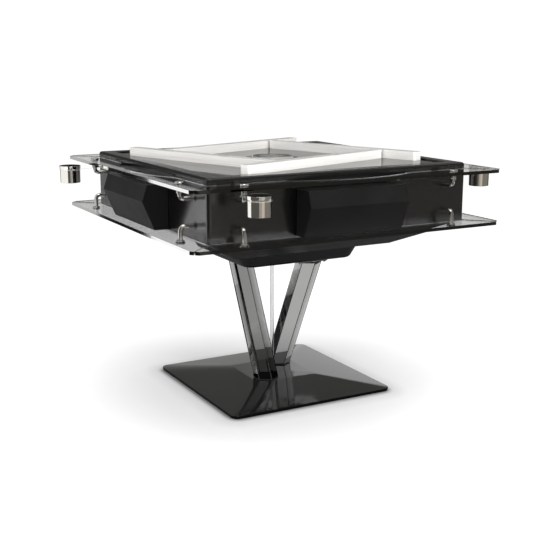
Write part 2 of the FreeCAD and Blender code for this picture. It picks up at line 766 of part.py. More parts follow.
def drawer_runners():
    """Four pairs of angled runners that the drawer trays slide on."""
    body = new_body("drawer_runners")
    made = []
    for sign in ("-", "+"):
        inner = f"{DRAWER_CENTRE} {sign} (DrawerTrayWidth / 2 - RunnerWidth)"
        side = f"{DRAWER_CENTRE} {sign} (DrawerTrayWidth / 2 + Fit)"
        outer = f"{DRAWER_CENTRE} {sign} (DrawerTrayWidth / 2 + Fit + RunnerLip - Fit)"
        section = sketch_on(body, "XZ_Plane", out=f"{SIDE_FACE} - CabinetThickness - RunnerLength")
        polygon(section, [
            (inner, CHASSIS_TOP),
            (outer, CHASSIS_TOP),
            (outer, f"{TRAY_FLOOR} + RunnerLipHeight"),
            (side, f"{TRAY_FLOOR} + RunnerLipHeight"),
            (side, f"{TRAY_FLOOR} - Fit"),
            (inner, f"{TRAY_FLOOR} - Fit"),
        ])
        made.append(pad(body, section, "RunnerLength"))
    around(body, made)


def drawer_face(side, quarter):
    """The faceted box on the front of a drawer: a long upper facet over a steep lower one."""
    body = new_body("drawer_face_" + side, quarter)
    section = sketch_on(body, "YZ_Plane", out="-DrawerLeft")
    polygon(section, [
        (f"-{DRAWER_FRONT}", DRAWER_BOTTOM),
        (f"-{SIDE_FACE} - DrawerBottomReach", DRAWER_BOTTOM),
        (f"-{SIDE_FACE} - DrawerRidgeReach", DRAWER_RIDGE),
        (f"-{SIDE_FACE} - DrawerTopReach", DRAWER_TOP),
        (f"-{DRAWER_FRONT}", DRAWER_TOP),
    ])
    pad(body, section, "DrawerLeft + DrawerRight")
    wall = -SIZES["TableWidth"] / 2 - SIZES["DrawerGap"] - SIZES["Fit"]
    soften(body, "DrawerEdge", lambda edge: edge.BoundBox.YMax < wall)


def drawer_tray(side, quarter):
    """The open tray behind a drawer front."""
    body = new_body("drawer_tray_" + side, quarter)
    half = "DrawerTrayWidth / 2"
    outer = sketch_on(body, out=TRAY_FLOOR)
    rectangle(outer, f"{DRAWER_CENTRE} - {half}", f"{DRAWER_CENTRE} + {half}",
              f"-{DRAWER_FRONT}", f"-{DRAWER_FRONT} + DrawerTrayLength")
    pad(body, outer, f"{TRAY_TOP} - {TRAY_FLOOR}")
    inner = sketch_on(body, out=TRAY_TOP)
    rectangle(inner, f"{DRAWER_CENTRE} - {half} + DrawerTrayThickness",
              f"{DRAWER_CENTRE} + {half} - DrawerTrayThickness",
              f"-{DRAWER_FRONT} + DrawerTrayThickness",
              f"-{DRAWER_FRONT} + DrawerTrayLength - DrawerTrayThickness")
    pocket(body, inner, f"{TRAY_TOP} - {TRAY_FLOOR} - DrawerTrayThickness")


def shelves(label, top, corner_cut, bow):
    """Four mitred glass shelves with two rod holes each; the upper ones have a bow-shaped cut-out."""
    body = new_body(label)
    inner = f"{SIDE_FACE} + ShelfGap"
    outer = f"{SIDE_FACE} + ShelfReach"
    half_cut = f"{corner_cut} / 2"
    sketch = sketch_on(body, out=f"{top} - ShelfThickness")
    polygon(sketch, [
        (f"-({inner}) + MitreGap", f"-({inner})"),
        (f"-({outer}) + {half_cut} + MitreGap", f"-({outer}) + {half_cut}"),
        (f"-({outer}) + {corner_cut} + MitreGap", f"-({outer})"),
        (f"{outer} - {corner_cut} - MitreGap", f"-({outer})"),
        (f"{outer} - {half_cut} - MitreGap", f"-({outer}) + {half_cut}"),
        (f"{inner} - MitreGap", f"-({inner})"),
    ])
    pad(body, sketch, "ShelfThickness")
    if bow:
        pocket(body, bow_segment(sketch_on(body, out=top)), "ShelfThickness")
    holes = sketch_on(body, out=top)
    circle(holes, "RodRadius + RodFit", f"-{ROD_LEFT}", f"-{ROD_OUT}")
    circle(holes, "RodRadius + RodFit", ROD_RIGHT, f"-{ROD_OUT}")
    pocket(body, holes, "ShelfThickness")
    around(body, [made for made in body.Group if made.TypeId in CUTS_AND_PADS])


def bow_segment(sketch):
    """A shallow arc closed by its chord along the side of the table."""
    radius = SIZES["BowRadius"]
    side = SIZES["TableWidth"] / 2
    depth = radius - SIZES["BowSagitta"]
    middle = FreeCAD.Vector(SIZES["BowCentre"], depth - side, 0)
    reach = math.acos(depth / radius)
    arc = Part.ArcOfCircle(Part.Circle(middle, UPRIGHT, radius), 1.5 * math.pi - reach,
                           1.5 * math.pi + reach)
    sketch.addGeometry(arc)
    sketch.addGeometry(Part.LineSegment(arc.EndPoint, arc.StartPoint))
    sketch.addConstraint(Sketcher.Constraint("Coincident", 0, 2, 1, 1))
    sketch.addConstraint(Sketcher.Constraint("Coincident", 1, 2, 0, 1))
    sketch.addConstraint(Sketcher.Constraint("Horizontal", 1))
    hold(sketch, "Radius", (0,), "BowRadius", radius)
    hold(sketch, "DistanceX", (-1, 1, 0, 3), "BowCentre", middle.x)
    hold(sketch, "DistanceY", (-1, 1, 0, 3), f"BowRadius - BowSagitta - {SIDE_FACE}", middle.y)
    hold(sketch, "DistanceY", (-1, 1, 1, 1), f"-{SIDE_FACE}", -side)
    return sketch


def rod_places():
    """The two rod places of a side, as seen from outside: left and right."""
    return f"-{ROD_LEFT}", ROD_RIGHT


def bent_rods(label, level, end, turn):
    """Eight rods that leave the wall level and bend up or down to a shelf."""
    body = new_body(label)
    made = []
    for across in rod_places():
        profile = sketch_on(body, "XZ_Plane", out=SIDE_FACE)
        circle(profile, "RodRadius", across, level)
        path = sketch_on(body, "YZ_Plane", out=across)
        rod_path(path, level, end, turn)
        pipe = feature(body, "AdditivePipe", profile)
        pipe.Spine = (path, ["Edge1", "Edge2", "Edge3"])
        doc.recompute()
        made.append(pipe)
        rosette = sketch_on(body, "XZ_Plane", out=SIDE_FACE)
        circle(rosette, "RosetteRadius", across, level)
        made.append(pad(body, rosette, "RosetteThickness"))
    around(body, made)


def rod_path(sketch, level, end, turn):
    """A level run out from the wall, a quarter bend and an upright run, tangent throughout."""
    bend = SIZES["RodBend"]
    height = SIZES["TableHeight"] - SIZES["CabinetHeight"] * (3 - turn) / 6
    start = FreeCAD.Vector(-SIZES["TableWidth"] / 2, height, 0)
    knee = start + FreeCAD.Vector(bend - SIZES["RodReach"], 0, 0)
    rise = knee + FreeCAD.Vector(-bend, turn * bend, 0)
    centre = knee + FreeCAD.Vector(0, turn * bend, 0)
    slope = FreeCAD.Vector(-1, -turn, 0).normalize()
    tip = rise + FreeCAD.Vector(0, turn * bend, 0)
    sketch.addGeometry(Part.LineSegment(start, knee))
    sketch.addGeometry(Part.Arc(knee, centre + slope * bend, rise))
    sketch.addGeometry(Part.LineSegment(rise, tip))
    near, far = arc_ends(sketch, 1, knee)
    sketch.addConstraint(Sketcher.Constraint("Tangent", 0, 2, 1, near))
    sketch.addConstraint(Sketcher.Constraint("Tangent", 1, far, 2, 1))
    sketch.addConstraint(Sketcher.Constraint("Horizontal", 0))
    sketch.addConstraint(Sketcher.Constraint("Vertical", 2))
    hold(sketch, "DistanceX", (-1, 1, 0, 1), f"-{SIDE_FACE}", start.x)
    hold(sketch, "DistanceY", (-1, 1, 0, 1), level, start.y)
    hold(sketch, "Radius", (1,), "RodBend", bend)
    hold(sketch, "DistanceX", (-1, 1, 2, 2), f"-{ROD_OUT}", tip.x)
    hold(sketch, "DistanceY", (-1, 1, 2, 2), end, tip.y)


def arc_ends(sketch, index, point):
    """Which end of an arc is at the point: the numbers of the near and the far end."""
    if sketch.getPoint(index, 1).isEqual(point, TOLERANCE):
        return 1, 2
    return 2, 1


def rings_on_rods(label, radius, bottom, height):
    """Eight rings that fit closely round the upright ends of the rods."""
    body = new_body(label)
    made = []
    for across in rod_places():
        sketch = circle(sketch_on(body, out=bottom), radius, across, f"-{ROD_OUT}")
        circle(sketch, "RodRadius + RunFit", across, f"-{ROD_OUT}")
        made.append(pad(body, sketch, height))
    around(body, made)


def shelf_caps():
    """Sixteen turned caps that close the rod ends above and below the glass, with a bevelled edge."""
    body = new_body("shelf_caps")
    made = []
    for across in rod_places():
        for level, upward in ((UPPER_SHELF_TOP, "+"), (LOWER_SHELF_BOTTOM, "-")):
            section = sketch_on(body, "XZ_Plane", out=ROD_OUT, across=across)
            tip = f"{level} {upward} CapHeight"
            shoulder = f"{level} {upward} (CapHeight - CapEdge)"
            polygon(section, [("0", level), ("CapRadius", level), ("CapRadius", shoulder),
                              ("CapRadius - CapEdge", tip), ("0", tip)])
            made.append(revolve(body, section))
    around(body, made)


def cup(side, quarter):
    """A spun metal cup with a wider lip band that hangs in the ring of its arm."""
    body = new_body("cup_" + side, quarter)
    section = sketch_on(body, "XZ_Plane", out=CUP_OUT, across=f"-{ROD_LEFT}")
    polygon(section, [
        ("0", CUP_BOTTOM),
        ("CupFootRadius", CUP_BOTTOM),
        ("CupRadius", CUP_LIP_BOTTOM),
        ("CupLipRadius", CUP_LIP_BOTTOM),
        ("CupLipRadius", CUP_TOP),
        ("CupLipRadius - CupThickness", CUP_TOP),
        ("CupLipRadius - CupThickness", f"{CUP_LIP_BOTTOM} + CupThickness"),
        ("CupRadius - CupThickness", f"{CUP_LIP_BOTTOM} + CupThickness"),
        ("CupFootRadius - CupThickness", f"{CUP_BOTTOM} + CupThickness"),
        ("0", f"{CUP_BOTTOM} + CupThickness"),
    ])
    revolve(body, section)


def cup_holders():
    """Four clear arms: a ring under each cup's lip and an eye on the shelf rod below its collar."""
    body = new_body("cup_holders")
    level = f"{COLLAR_BOTTOM} - ArmThickness"
    ring = circle(sketch_on(body, out=level), "CupRadius + Fit + RingWidth", f"-{ROD_LEFT}", f"-{CUP_OUT}")
    pad(body, ring, "ArmThickness")
    arm = sketch_on(body, out=level)
    rectangle(arm, f"-{ROD_LEFT} - ArmWidth / 2", f"-{ROD_LEFT} + ArmWidth / 2",
              f"-{CUP_OUT} + CupRadius", f"-{ROD_OUT}")
    pad(body, arm, "ArmThickness")
    eye = sketch_on(body, out=level)
    circle(eye, "RodRadius + EyeFit + EyeWidth", f"-{ROD_LEFT}", f"-{ROD_OUT}")
    pad(body, eye, "ArmThickness")
    bores = circle(sketch_on(body, out=COLLAR_BOTTOM), "CupRadius + Fit", f"-{ROD_LEFT}", f"-{CUP_OUT}")
    circle(bores, "RodRadius + EyeFit", f"-{ROD_LEFT}", f"-{ROD_OUT}")
    pocket(body, bores, "ArmThickness")
    around(body, [made for made in body.Group if made.TypeId in CUTS_AND_PADS])


def mixing_bowl():
    """The fixed round wall that keeps the tiles on the turntable."""
    body = new_body("mixing_bowl")
    sketch = circle(sketch_on(body, out=CHASSIS_TOP), BOWL_RADIUS)
    circle(sketch, f"{BOWL_RADIUS} - BowlThickness")
    pad(body, sketch, f"{RAIL_SUNK} - BowlClear - {CHASSIS_TOP}")


def centre_column():
    """The flanged tube on the chassis that guides the console's stem."""
    body = new_body("centre_column")
    section = sketch_on(body, "XZ_Plane")
    polygon(section, [
        ("StemRadius + RunFit", CHASSIS_TOP),
        ("ColumnFlangeRadius", CHASSIS_TOP),
        ("ColumnFlangeRadius", f"{CHASSIS_TOP} + ColumnFlangeHeight"),
        ("ColumnRadius", f"{CHASSIS_TOP} + ColumnFlangeHeight"),
        ("ColumnRadius", COLUMN_TOP),
        ("StemRadius + RunFit", COLUMN_TOP),
    ])
    revolve(body, section)


def mixing_turntable():
    """The dished disc on its hub, with a drive drum below and curved-end paddles on top."""
    body = new_body("mixing_turntable")
    section = sketch_on(body, "XZ_Plane")
    bore = "ColumnRadius + RunFit"
    polygon(section, [
        (bore, HUB_BOTTOM),
        ("HubRadius", HUB_BOTTOM),
        ("HubRadius", DISC_BOTTOM),
        (f"{DRUM_RADIUS} - DrumThickness", DISC_BOTTOM),
        (f"{DRUM_RADIUS} - DrumThickness", f"{DISC_BOTTOM} - DrumDepth"),
        (DRUM_RADIUS, f"{DISC_BOTTOM} - DrumDepth"),
        (DRUM_RADIUS, DISC_BOTTOM),
        (DISC_RADIUS, DISC_BOTTOM),
        (DISC_RADIUS, DISC_LEVEL),
        ("DiscRiseRadius", DISC_LEVEL),
        ("HubRadius", f"{DISC_LEVEL} + DiscRise"),
        (bore, f"{DISC_LEVEL} + DiscRise"),
    ])
    revolve(body, section)
    paddle = sketch_on(body, out=DISC_LEVEL)
    rectangle(paddle, "DiscRiseRadius + PaddleGap", f"{DISC_RADIUS} - PaddleInset",
              "-PaddleWidth / 2", "PaddleWidth / 2")
    made = pad(body, paddle, "PaddleHeight")
    around(body, [made], 6)


def drive_roller():
    """The rubber-tyred wheel and shaft that turn the drum."""
    body = new_body("drive_roller")
    top = f"{DISC_BOTTOM} - DrumDepth + RollerHeight"
    section = sketch_on(body, "XZ_Plane", across=ROLLER_PLACE)
    polygon(section, [
        ("0", f"{CABINET_BOTTOM} - ShaftSeat"),
        ("ShaftRadius", f"{CABINET_BOTTOM} - ShaftSeat"),
        ("ShaftRadius", f"{top} - RollerHeight"),
        ("RollerRadius - RollerEdge", f"{top} - RollerHeight"),
        ("RollerRadius", f"{top} - RollerHeight + RollerEdge"),
        ("RollerRadius", f"{top} - RollerEdge"),
        ("RollerRadius - RollerEdge", top),
        ("0", top),
    ])
    revolve(body, section)


def drive_motor():
    """The flanged motor under the chassis, with a bore for the roller's shaft."""
    body = new_body("drive_motor")
    section = sketch_on(body, "XZ_Plane", across=ROLLER_PLACE)
    seat = f"{CABINET_BOTTOM} - ShaftSeat - Fit"
    polygon(section, [
        ("0", f"{CABINET_BOTTOM} - MotorHeight"),
        ("MotorRadius", f"{CABINET_BOTTOM} - MotorHeight"),
        ("MotorRadius", f"{CABINET_BOTTOM} - MotorFlangeHeight"),
        ("MotorFlangeRadius", f"{CABINET_BOTTOM} - MotorFlangeHeight"),
        ("MotorFlangeRadius", CABINET_BOTTOM),
        ("ShaftRadius + RunFit", CABINET_BOTTOM),
        ("ShaftRadius + RunFit", seat),
        ("0", seat),
    ])
    revolve(body, section)


def console_body():
    """The low round console: flange on the glass, domed top, dice well, stem and button wells."""
    body = new_body("console_body")
    section = sketch_on(body, "XZ_Plane")
    well = f"{CONSOLE_TOP} - DiceWellDepth"
    seat = f"{WINDOW_TOP} - WindowThickness"
    polygon(section, [
        ("0", STEM_BOTTOM),
        ("StemRadius", STEM_BOTTOM),
        ("StemRadius", CONSOLE_BOTTOM),
        ("ConsoleHoleRadius - 2 * Fit", CONSOLE_BOTTOM),
        ("ConsoleHoleRadius - 2 * Fit", GLASS_TOP),
        ("ConsoleFlangeRadius", GLASS_TOP),
        ("ConsoleFlangeRadius", f"{GLASS_TOP} + ConsoleFlangeHeight"),
        ("ConsoleDomeRadius", f"{GLASS_TOP} + ConsoleFlangeHeight"),
        ("ConsoleDomeRadius - ConsoleDomeRound", CONSOLE_TOP),
        ("WindowRadius + Fit", CONSOLE_TOP),
        ("WindowRadius + Fit", seat),
        ("DiceWellRadius", seat),
        ("DiceWellRadius", well),
        ("0", well),
    ])
    revolve(body, section)
    button = sketch_on(body, out=f"{GLASS_TOP} + ConsoleFlangeHeight")
    circle(button, "ButtonRadius + 2 * RunFit", "ButtonCircle * sin(ButtonTurn)",
           "-ButtonCircle * cos(ButtonTurn)")
    cut = pocket(body, button, "ButtonSunk + ButtonTravel + Fit")
    around(body, [cut])


def console_window():
    """The smoked window over the dice."""
    body = new_body("console_window")
    sketch = circle(sketch_on(body, out=f"{WINDOW_TOP} - WindowThickness"), "WindowRadius")
    pad(body, sketch, "WindowThickness")


def dice():
    """Two dice that lie in the well under the window."""
    body = new_body("dice")
    level = f"{CONSOLE_TOP} - DiceWellDepth"
    for sign in ("-", "+"):
        sketch = sketch_on(body, out=level)
        rectangle(sketch, f"{sign}DiceSpread - DiceSide / 2", f"{sign}DiceSpread + DiceSide / 2",
                  "-DiceSide / 2", "DiceSide / 2")
        pad(body, sketch, "DiceSide")
    soften(body, "DiceRound", is_upright)


def button(side, quarter):
    """One round push button with a bevelled top."""
    body = new_body("button_" + side, quarter)
    top = f"{GLASS_TOP} + ConsoleFlangeHeight + ButtonShow"
    section = sketch_on(body, "XZ_Plane", out="ButtonCircle * cos(ButtonTurn)",
                        across="ButtonCircle * sin(ButtonTurn)")
    polygon(section, [
        ("0", f"{top} - ButtonShow - ButtonSunk"),
        ("ButtonRadius", f"{top} - ButtonShow - ButtonSunk"),
        ("ButtonRadius", f"{top} - ButtonEdge"),
        ("ButtonRadius - ButtonEdge", top),
        ("0", top),
    ])
    revolve(body, section)


def control_box():
    """The control box on the floor of the lower tray, beside the cable tube."""
    body = new_body("control_box")
    sketch = sketch_on(body, out=f"{TRAY_BOTTOM} + SheetThickness")
    near = "TubeRadius + ControlRound"
    rectangle(sketch, "-ControlLength / 2", "ControlLength / 2", near, f"{near} + ControlWidth")
    pad(body, sketch, "ControlHeight")
    soften(body, "ControlRound", is_upright)


def power_inlet():
    """The recessed power inlet under the back of the pan."""
    body = new_body("power_inlet")
    level = f"{PAN_BOTTOM} - InletDrop"
    outer = sketch_on(body, out=level)
    rectangle(outer, "-InletWidth / 2", "InletWidth / 2",
              f"{INLET_BACK} - InletDepth / 2", f"{INLET_BACK} + InletDepth / 2")
    pad(body, outer, "InletDrop")
    mouth = sketch_on(body, out=f"{level} + InletMouthDrop")
    rectangle(mouth, "-InletMouthWidth / 2", "InletMouthWidth / 2",
              f"{INLET_BACK} - InletMouthDepth / 2", f"{INLET_BACK} + InletMouthDepth / 2")
    pocket(body, mouth, "InletMouthDrop")


def check_document():
    """Stop if any object failed to compute."""
    doc.recompute()
    for item in doc.Objects:
        if "Invalid" in item.State or "Error" in item.State:
            raise RuntimeError(f"{item.Name} is {item.State}")


def write_parts():
    """Write each sub-part to its own file."""
    os.makedirs("parts", exist_ok=True)
    for item in doc.Objects:
        if item.TypeId != "PartDesign::Body":
            continue
        if item.Shape.isNull() or not item.Shape.isValid():
            raise RuntimeError(item.Label + " has no valid shape")
        item.Shape.exportStep(f"parts/{item.Label}.step")
        print(item.Label, len(item.Shape.Solids), round(item.Shape.Volume))


def main():
    fill_sheet()
    foot_pads()
    base_under_plate()
    base_plinth()
    leg_foot_plates()
    crystal_leg("front_crystal_leg", 0)
    crystal_leg("rear_crystal_leg", 1)
    leg_top_plates()
    leg_screws()
    cable_tube()
    lower_tray()
    control_box()
    pan()
    power_inlet()
    cabinet_shell()
    chassis()
    rim_frame()
    playing_glass()
    lift_guides()
    drawer_runners()
    mixing_bowl()
    centre_column()
    mixing_turntable()
    drive_motor()
    drive_roller()
    console_body()
    console_window()
    dice()
    for quarter, side in enumerate(SIDES):
        tile_wall(side, quarter)
        lift_rail(side, quarter)
        drawer_face(side, quarter)
        drawer_tray(side, quarter)
        cup(side, quarter)
        button(side, quarter)
    bent_rods("upper_rods", UPPER_ROD_LEVEL, UPPER_SHELF_TOP, 1)
    bent_rods("lower_rods", LOWER_ROD_LEVEL, LOWER_SHELF_BOTTOM, -1)
    rings_on_rods("shelf_collars", "CollarRadius", COLLAR_BOTTOM, "CollarHeight")
    rings_on_rods("shelf_washers", "WasherRadius", WASHER_BOTTOM, "WasherThickness")
    rings_on_rods("shelf_flanges", "FlangeRadius", LOWER_SHELF_TOP, "FlangeHeight")
    shelf_caps()
    shelves("upper_shelves", UPPER_SHELF_TOP, "ShelfCutUpper", bow=True)
    shelves("lower_shelves", LOWER_SHELF_TOP, "ShelfCutLower", bow=False)
    cup_holders()
    check_document()
    write_parts()


main()
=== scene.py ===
import math

import bmesh
import bpy
from mathutils import Matrix, Vector

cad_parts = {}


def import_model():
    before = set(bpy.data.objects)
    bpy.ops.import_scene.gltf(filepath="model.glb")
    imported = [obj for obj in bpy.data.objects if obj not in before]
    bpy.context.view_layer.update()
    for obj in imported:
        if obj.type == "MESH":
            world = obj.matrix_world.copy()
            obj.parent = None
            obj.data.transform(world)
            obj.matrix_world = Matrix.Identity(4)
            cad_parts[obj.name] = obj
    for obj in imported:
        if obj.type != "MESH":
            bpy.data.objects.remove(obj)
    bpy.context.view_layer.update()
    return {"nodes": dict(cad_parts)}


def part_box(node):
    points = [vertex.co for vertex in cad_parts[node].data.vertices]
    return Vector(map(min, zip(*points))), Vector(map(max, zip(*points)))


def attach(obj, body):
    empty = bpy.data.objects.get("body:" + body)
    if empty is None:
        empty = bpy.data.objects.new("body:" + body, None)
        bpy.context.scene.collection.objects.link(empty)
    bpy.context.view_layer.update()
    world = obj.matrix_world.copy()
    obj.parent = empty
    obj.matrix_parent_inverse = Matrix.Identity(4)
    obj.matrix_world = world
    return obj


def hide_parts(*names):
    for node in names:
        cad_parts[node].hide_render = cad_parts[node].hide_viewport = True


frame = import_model()

MM = 0.001
SIDES = ("front", "right", "back", "left")
# Distance of the cabinet's walls from the table's upright axis.
SIDE_FACE = 0.44

# Edges sharper than the first angle are rounded; faces that meet at less than the second are merged.
SHARP_ANGLE = math.radians(32)
FLAT_ANGLE = math.radians(0.4)
MERGE_REACH = 0.01 * MM
# A softened corner takes its leg's length divided by this at most.
SOFT_DIVIDER = 2.2
# A turned ring below this radius is one point.
POINT_RADIUS = 1e-7
# How steep a face is, by the Z of its normal: rims of the base, which get painted shade, and of the glass,
# and a top face, which gets a painted highlight.
BASE_RIM_SLOPE = 0.2
GLASS_RIM_SLOPE = 0.3
TOP_SLOPE = 0.9

# Places of the shelf rods along a side, seen from outside, and their distance from the wall.
ROD_PLACES = (-0.351, 0.356)
ROD_REACH = 0.044
ROD_RADIUS = 0.0065
ROD_BEND = 0.013
ROD_STUB = 4 * MM
ROD_END = 2 * MM
BEND_STEPS = 12
UPPER_ROD_LEVEL = 0.7025
LOWER_ROD_LEVEL = 0.6255

# Rosettes at the wall, and the rings and caps that clamp the glass on the rods.
ROSETTE_RADIUS = 11 * MM
ROSETTE_DEPTH = 2 * MM
ROSETTE_CROWN = 2.2 * MM
# Faces of a rosette lie closer to the wall than this, and further from the rod's end than the next.
ROSETTE_LIMIT = 2.4 * MM
ROSETTE_START = ROD_RADIUS * 1.02
# Play between a rod and the rings on it.
BORE_PLAY = 0.05 * MM
WASHER_RADIUS = 12 * MM
WASHER_THICKNESS = 3 * MM
# Outlines as radius and distance: the collar goes down from its seat, the others away from the glass.
COLLAR_OUTLINE = ((9.5 * MM, 14 * MM), (9.5 * MM, 9 * MM), (9.0 * MM, 8.6 * MM), (9.0 * MM, 8 * MM),
                  (9.5 * MM, 7.6 * MM), (9.5 * MM, 0))
COLLAR_HEIGHT = 14 * MM
FLANGE_OUTLINE = ((12 * MM, 0), (12 * MM, 1.6 * MM), (8 * MM, 3 * MM))
FLANGE_HEIGHT = 3 * MM
CAP_OUTLINE = ((0, 0), (13.5 * MM, 0), (13.5 * MM, 3.4 * MM), (12 * MM, 5 * MM), (0, 5 * MM))

# Outline of a cup: radius in millimetres, the level it is measured from, and millimetres above that.
CUP_OUTLINE = (
    (0, "foot", 1.0), (28, "foot", 1.0), (30, "foot", 0), (32.6, "foot", 0.5),
    (33, "band", -1.5), (34.0, "band", 1.5), (34.6, "top", 0), (33.4, "top", 0),
    (33.2, "band", 1.6), (31.6, "band", 1.2), (31.2, "foot", 2.6), (0, "foot", 1.6),
)
# The lip band's level below the top, and where the painted shade inside starts: above the foot, within the
# lip.
CUP_BAND = 11 * MM
CUP_FLOOR = 1.4 * MM
CUP_LIP_RADIUS = 33.5 * MM

# Wall of the clear tube, and width of the legs' polished edges, which carry painted shade.
TUBE_WALL = 1.5 * MM
LEG_EDGE = 1.3 * MM

# Centre console: where its silver ring starts, its window and the outline of a button's edge.
SILVER_RADIUS = 42.5 * MM
SILVER_HEIGHT = 0.4 * MM
WINDOW_RADIUS = 58 * MM
WINDOW_TOP_DEPTH = 0.3 * MM
WINDOW_UNDER_DEPTH = 3.3 * MM
BUTTON_RADIUS = 5.5 * MM
BUTTON_TOP_RADIUS = 4.5 * MM
BUTTON_EDGE = 1 * MM
BUTTON_DISH = 0.4 * MM

# Noise in the materials: scales, the span of its values, and the shares for lighter and darker clouds.
CLOUD_SCALE = 9.0
GLOSS_SCALE = 26.0
SKIN_SCALE = 1400.0
SKIN_RELIEF = 0.03
NOISE_SPAN = (0.3, 0.7)
CLOUD_SPAN = (0.35, 0.65)
CLOUD_LIGHTER = 1.12
CLOUD_DARKER = 0.9
# The barely uneven polish of clear pieces, and the colour that they darken to inside.
POLISH_SCALE = 7.0
POLISH_RELIEF = 0.004
POLISH_DEPTH = 0.05 * MM
INSIDE_COLOR = (0.5, 0.5, 0.495, 1)
# Colour of a polished glass edge, from facing the eye to a low angle.
EDGE_STOPS = ((0.25, (0.07, 0.072, 0.07, 1)), (0.6, (0.85, 0.86, 0.85, 1)))

# The camera: place in metres, angles in degrees, lens and film width in millimetres.
CAMERA_PLACE = (-1.5573, -2.8423, 1.0926)
CAMERA_PITCH = 12.1199
CAMERA_TURN = -28.3875
CAMERA_LENS = 67.07
CAMERA_FILM = 36
CAMERA_FAR = 100

# Floor as the camera, mirrors and clear pieces show it: paper with a glow that rises between two
# distances from a point, which paints a soft shadow round the table. All other rays meet the plain bounce
# value.
FLOOR_HALF = 40
FLOOR_PAPER = 0.45
FLOOR_BOUNCE = 0.35
FLOOR_GLOW = (0.43, 0.88)
PAINTED_SHADOW_FADE = (0.25, 0.95)
SHADE_CENTRE = (-0.07, -0.06, 0.0)
# The glow also falls off round the base as a painted contact shadow: half width of a square, reach beyond it,
# and the stops on it.
PAINTED_SHADOW_CORE = 0.26
PAINTED_SHADOW_REACH = 0.10
PAINTED_SHADOW_STOPS = ((0.3, 0.02), (0.38, 0.45), (0.5, 0.8), (1.0, 1.0))
WORLD_FILL = 0.3
LAMP_TARGET = (0, 0, 0.7)
# Name, place, size, power, and whether mirrors and clear pieces show the lamp.
LAMPS = (
    ("front_right", (1.0, -3.4, 1.5), 2.0, 125, False),
    ("front_left", (-3.2, -1.6, 1.3), 2.0, 90, False),
    ("top", (-0.6, -1.2, 3.2), 1.2, 20, True),
)
# Cards that only mirrors show: corners and light of one just above the floor, which puts painted shade
# into the floor's reflections, and then the upright ones, by name, the two ends on the floor, lowest and
# highest level, and light.
FLOOR_SHADE_CARD = ((-1.3, -2.8, 0.001), (1.6, -2.8, 0.001), (1.3, 1.4, 0.001), (-1.3, 1.4, 0.001))
FLOOR_SHADE_CARD_VALUE = (0.12, 0.12, 0.12)
CARDS = (
    ("card_behind", ((-1.9, 2.6), (3.4, -0.3)), 1.05, 2.6, (0.11, 0.11, 0.11)),
    ("card_between", ((-1.9, 2.6), (3.4, -0.3)), 0.58, 1.05, (0.22, 0.22, 0.21)),
    ("card_low", ((-1.2, 2.22), (0.75, 1.15)), 0.0, 0.58, (0.5, 0.5, 0.49)),
    ("card_far_right", ((3.1, -0.7), (2.6, 0.14)), 0.0, 1.6, (0.02, 0.02, 0.02)),
    ("card_right", ((0.62, -2.86), (3.1, -0.7)), 0.0, 3.5, (0.2, 0.19, 0.17)),
    ("card_warm", ((-0.5, -3.0), (0.62, -2.86)), 0.0, 3.5, (0.55, 0.5, 0.44)),
    ("card_mid", ((-1.57, -2.87), (-0.5, -3.0)), 0.0, 3.5, (0.36, 0.33, 0.29)),
    ("card_front", ((-1.22, -0.3), (-1.57, -2.87)), 0.0, 3.5, (0.09, 0.087, 0.08)),
    ("card_far_left", ((-1.43, 2.06), (-0.9, 3.4)), 0.0, 1.6, (0.01, 0.01, 0.01)),
)


def quarter_turn(index):
    """The turn about the table's axis that brings the front side to the given side."""
    return Matrix.Rotation(math.radians(90 * index), 4, "Z")


# Mesh helpers

def piece(name, mesh, body, material, replaces=()):
    """Link a finished bmesh as an object that rides on a body and stands for CAD nodes."""
    data = bpy.data.meshes.new(name)
    bmesh.ops.recalc_face_normals(mesh, faces=mesh.faces)
    mesh.to_mesh(data)
    mesh.free()
    data.shade_smooth()
    data.set_sharp_from_angle(angle=SHARP_ANGLE)
    data.materials.append(material)
    made = bpy.data.objects.new(name, data)
    bpy.context.scene.collection.objects.link(made)
    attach(made, body)
    if replaces:
        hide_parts(*replaces)
    return made


def true_faces(made):
    """Let large faces keep their own normals, so that reflections in them run straight."""
    weighted = made.modifiers.new("true_faces", "WEIGHTED_NORMAL")
    weighted.mode = "FACE_AREA"
    weighted.weight = 50
    weighted.keep_sharp = True
    return made


def dressed(node, body, material, bevel=0.8 * MM, segments=2):
    """A copy of a CAD node with its flat faces merged and its edges rounded."""
    mesh = bmesh.new()
    mesh.from_mesh(frame["nodes"][node].data)
    bmesh.ops.remove_doubles(mesh, verts=mesh.verts, dist=MERGE_REACH)
    bmesh.ops.dissolve_limit(mesh, angle_limit=FLAT_ANGLE, verts=mesh.verts, edges=mesh.edges)
    made = piece(node + "_dressed", mesh, body, material, (node,))
    edges = made.modifiers.new("edges", "BEVEL")
    edges.width = bevel
    edges.segments = segments
    edges.limit_method = "ANGLE"
    edges.angle_limit = SHARP_ANGLE
    edges.use_clamp_overlap = True
    return true_faces(made)


def second_material(made, material, chosen):
    """Give the faces that a test picks a second material."""
    made.data.materials.append(material)
    for face in made.data.polygons:
        if chosen(face):
            face.material_index = 1


def softened(points, radius, steps=4):
    """A profile with each inner corner turned into a short arc-like curve."""
    done = [Vector(points[0])]
    for before, corner, after in zip(points, points[1:], points[2:]):
        before, corner, after = Vector(before), Vector(corner), Vector(after)
        reach = min(radius, (before - corner).length / SOFT_DIVIDER, (after - corner).length / SOFT_DIVIDER)
        start = corner + (before - corner).normalized() * reach
        end = corner + (after - corner).normalized() * reach
        for step in range(steps + 1):
            share = step / steps
            done.append(start.lerp(corner, share).lerp(corner.lerp(end, share), share))
    done.append(Vector(points[-1]))
    return done


